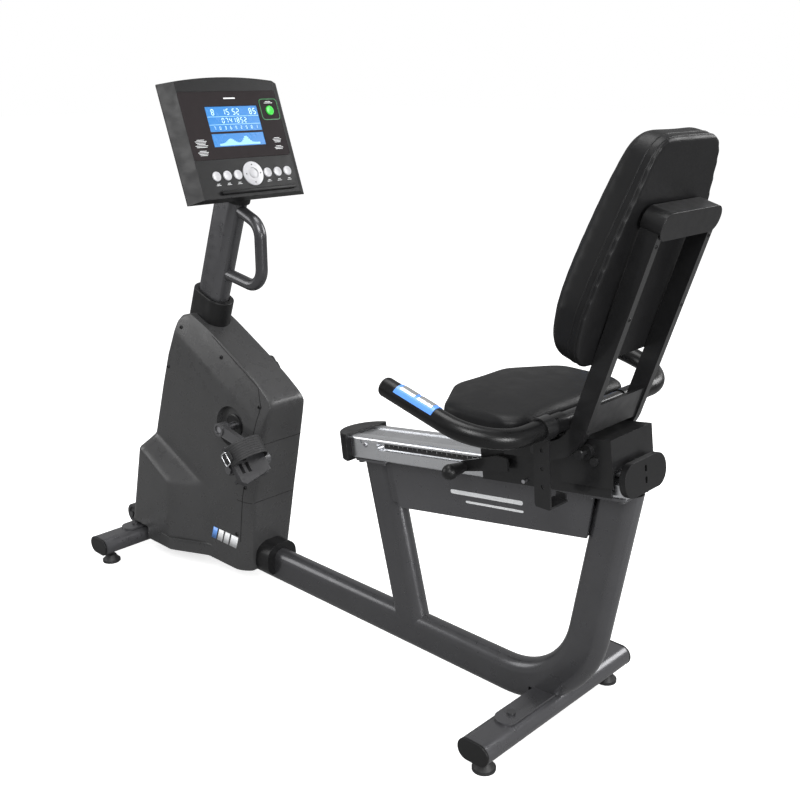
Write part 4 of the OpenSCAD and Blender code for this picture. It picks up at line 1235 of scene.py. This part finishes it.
build_rail()
build_pedals()
build_softened_parts()
gusset_stripes()
back_bar_screws()


# ---------- finishes on the CAD nodes that stay ----------

def finish_nodes():
    """Materials for the nodes that no Blender piece stands for."""
    for node, obj in frame["nodes"].items():
        if obj.hide_render:
            continue
        obj.data.materials.clear()
        obj.data.materials.append(LOOKS.get(node, MATERIALS[SLOT_OF[node]]))
        smooth_by_angle(obj, 30)


finish_nodes()


# ---------- floor, light and camera ----------

# Name, place, size and power of each soft light
LIGHTS = (
    ("key", (2.2, -2.6, 3.2), 1.8, 92),
    ("side", (-2.6, -2.0, 1.6), 1.6, 24),
    ("rear", (3.4, -0.4, 1.1), 0.9, 50),
    ("rim", (1.5, 3.0, 2.2), 1.6, 52),
    ("top", (0, 0, 3.6), 1.8, 44),
)
LOOK_AT = Vector((0, 0, 0.6))
FILL = 0.36                 # strength of the white surroundings, except as the camera sees them
FLOOR_GLOW = 0.72


def studio():
    """White floor and surroundings with soft lights round the bike."""
    bm = bmesh.new()
    bmesh.ops.create_grid(bm, x_segments=2, y_segments=2, size=30)
    floor = shown("floor", bm)
    floor.data.materials.append(white_floor())
    surroundings()
    bpy.context.scene.view_settings.view_transform = "Standard"
    for name, place, size, power in LIGHTS:
        light = bpy.data.lights.new(name, "AREA")
        light.size = size
        light.energy = power
        lamp = shown(name, light)
        lamp.location = place
        lamp.rotation_euler = (LOOK_AT - Vector(place)).to_track_quat("-Z", "Y").to_euler()


def white_floor():
    """Floor that looks white to the camera but throws little light on the bike."""
    s = Shader("floor_white")
    seen = s.add("ShaderNodeLightPath").outputs["Is Camera Ray"]
    pale = s.mix(s.span(s.noise(2, 2), 0, 1), (0.94, 0.94, 0.94), (0.96, 0.96, 0.96))
    s.link(s.mix(seen, (0.3, 0.3, 0.3), pale), s.surface.inputs["Base Color"])
    s.set(Roughness=0.9, Specular_IOR_Level=0.1, Emission_Color=(1, 1, 1, 1))
    s.link(s.span(seen, 0, FLOOR_GLOW, 0, 1), s.surface.inputs["Emission Strength"])
    return s.material


def surroundings():
    """White world, dimmer as a light than as a backdrop."""
    world = bpy.data.worlds.new("studio")
    bpy.context.scene.world = world
    world.use_nodes = True
    background = world.node_tree.nodes["Background"]
    background.inputs["Color"].default_value = (1, 1, 1, 1)
    path = world.node_tree.nodes.new("ShaderNodeLightPath")
    strength = world.node_tree.nodes.new("ShaderNodeMapRange")
    strength.inputs["To Min"].default_value = FILL
    strength.inputs["To Max"].default_value = 1.0
    world.node_tree.links.new(path.outputs["Is Camera Ray"], strength.inputs["Value"])
    world.node_tree.links.new(strength.outputs["Result"], background.inputs["Strength"])


def camera():
    """The photo's viewpoint, placed from the rear stabiliser."""
    azimuth = math.radians(43.45)
    elevation = math.radians(17.36)
    data = bpy.data.cameras.new("view")
    data.lens = 47.1
    data.sensor_width = 36
    data.clip_end = 100
    cam = shown("view", data)
    cam.location = (REAR_X + 1.0777, -1.5921, 1.3)
    level = math.cos(elevation)
    back = Vector((math.sin(azimuth) * level, -math.cos(azimuth) * level, math.sin(elevation)))
    cam.rotation_euler = (-back).to_track_quat("-Z", "Y").to_euler()
    bpy.context.scene.camera = cam


studio()
camera()
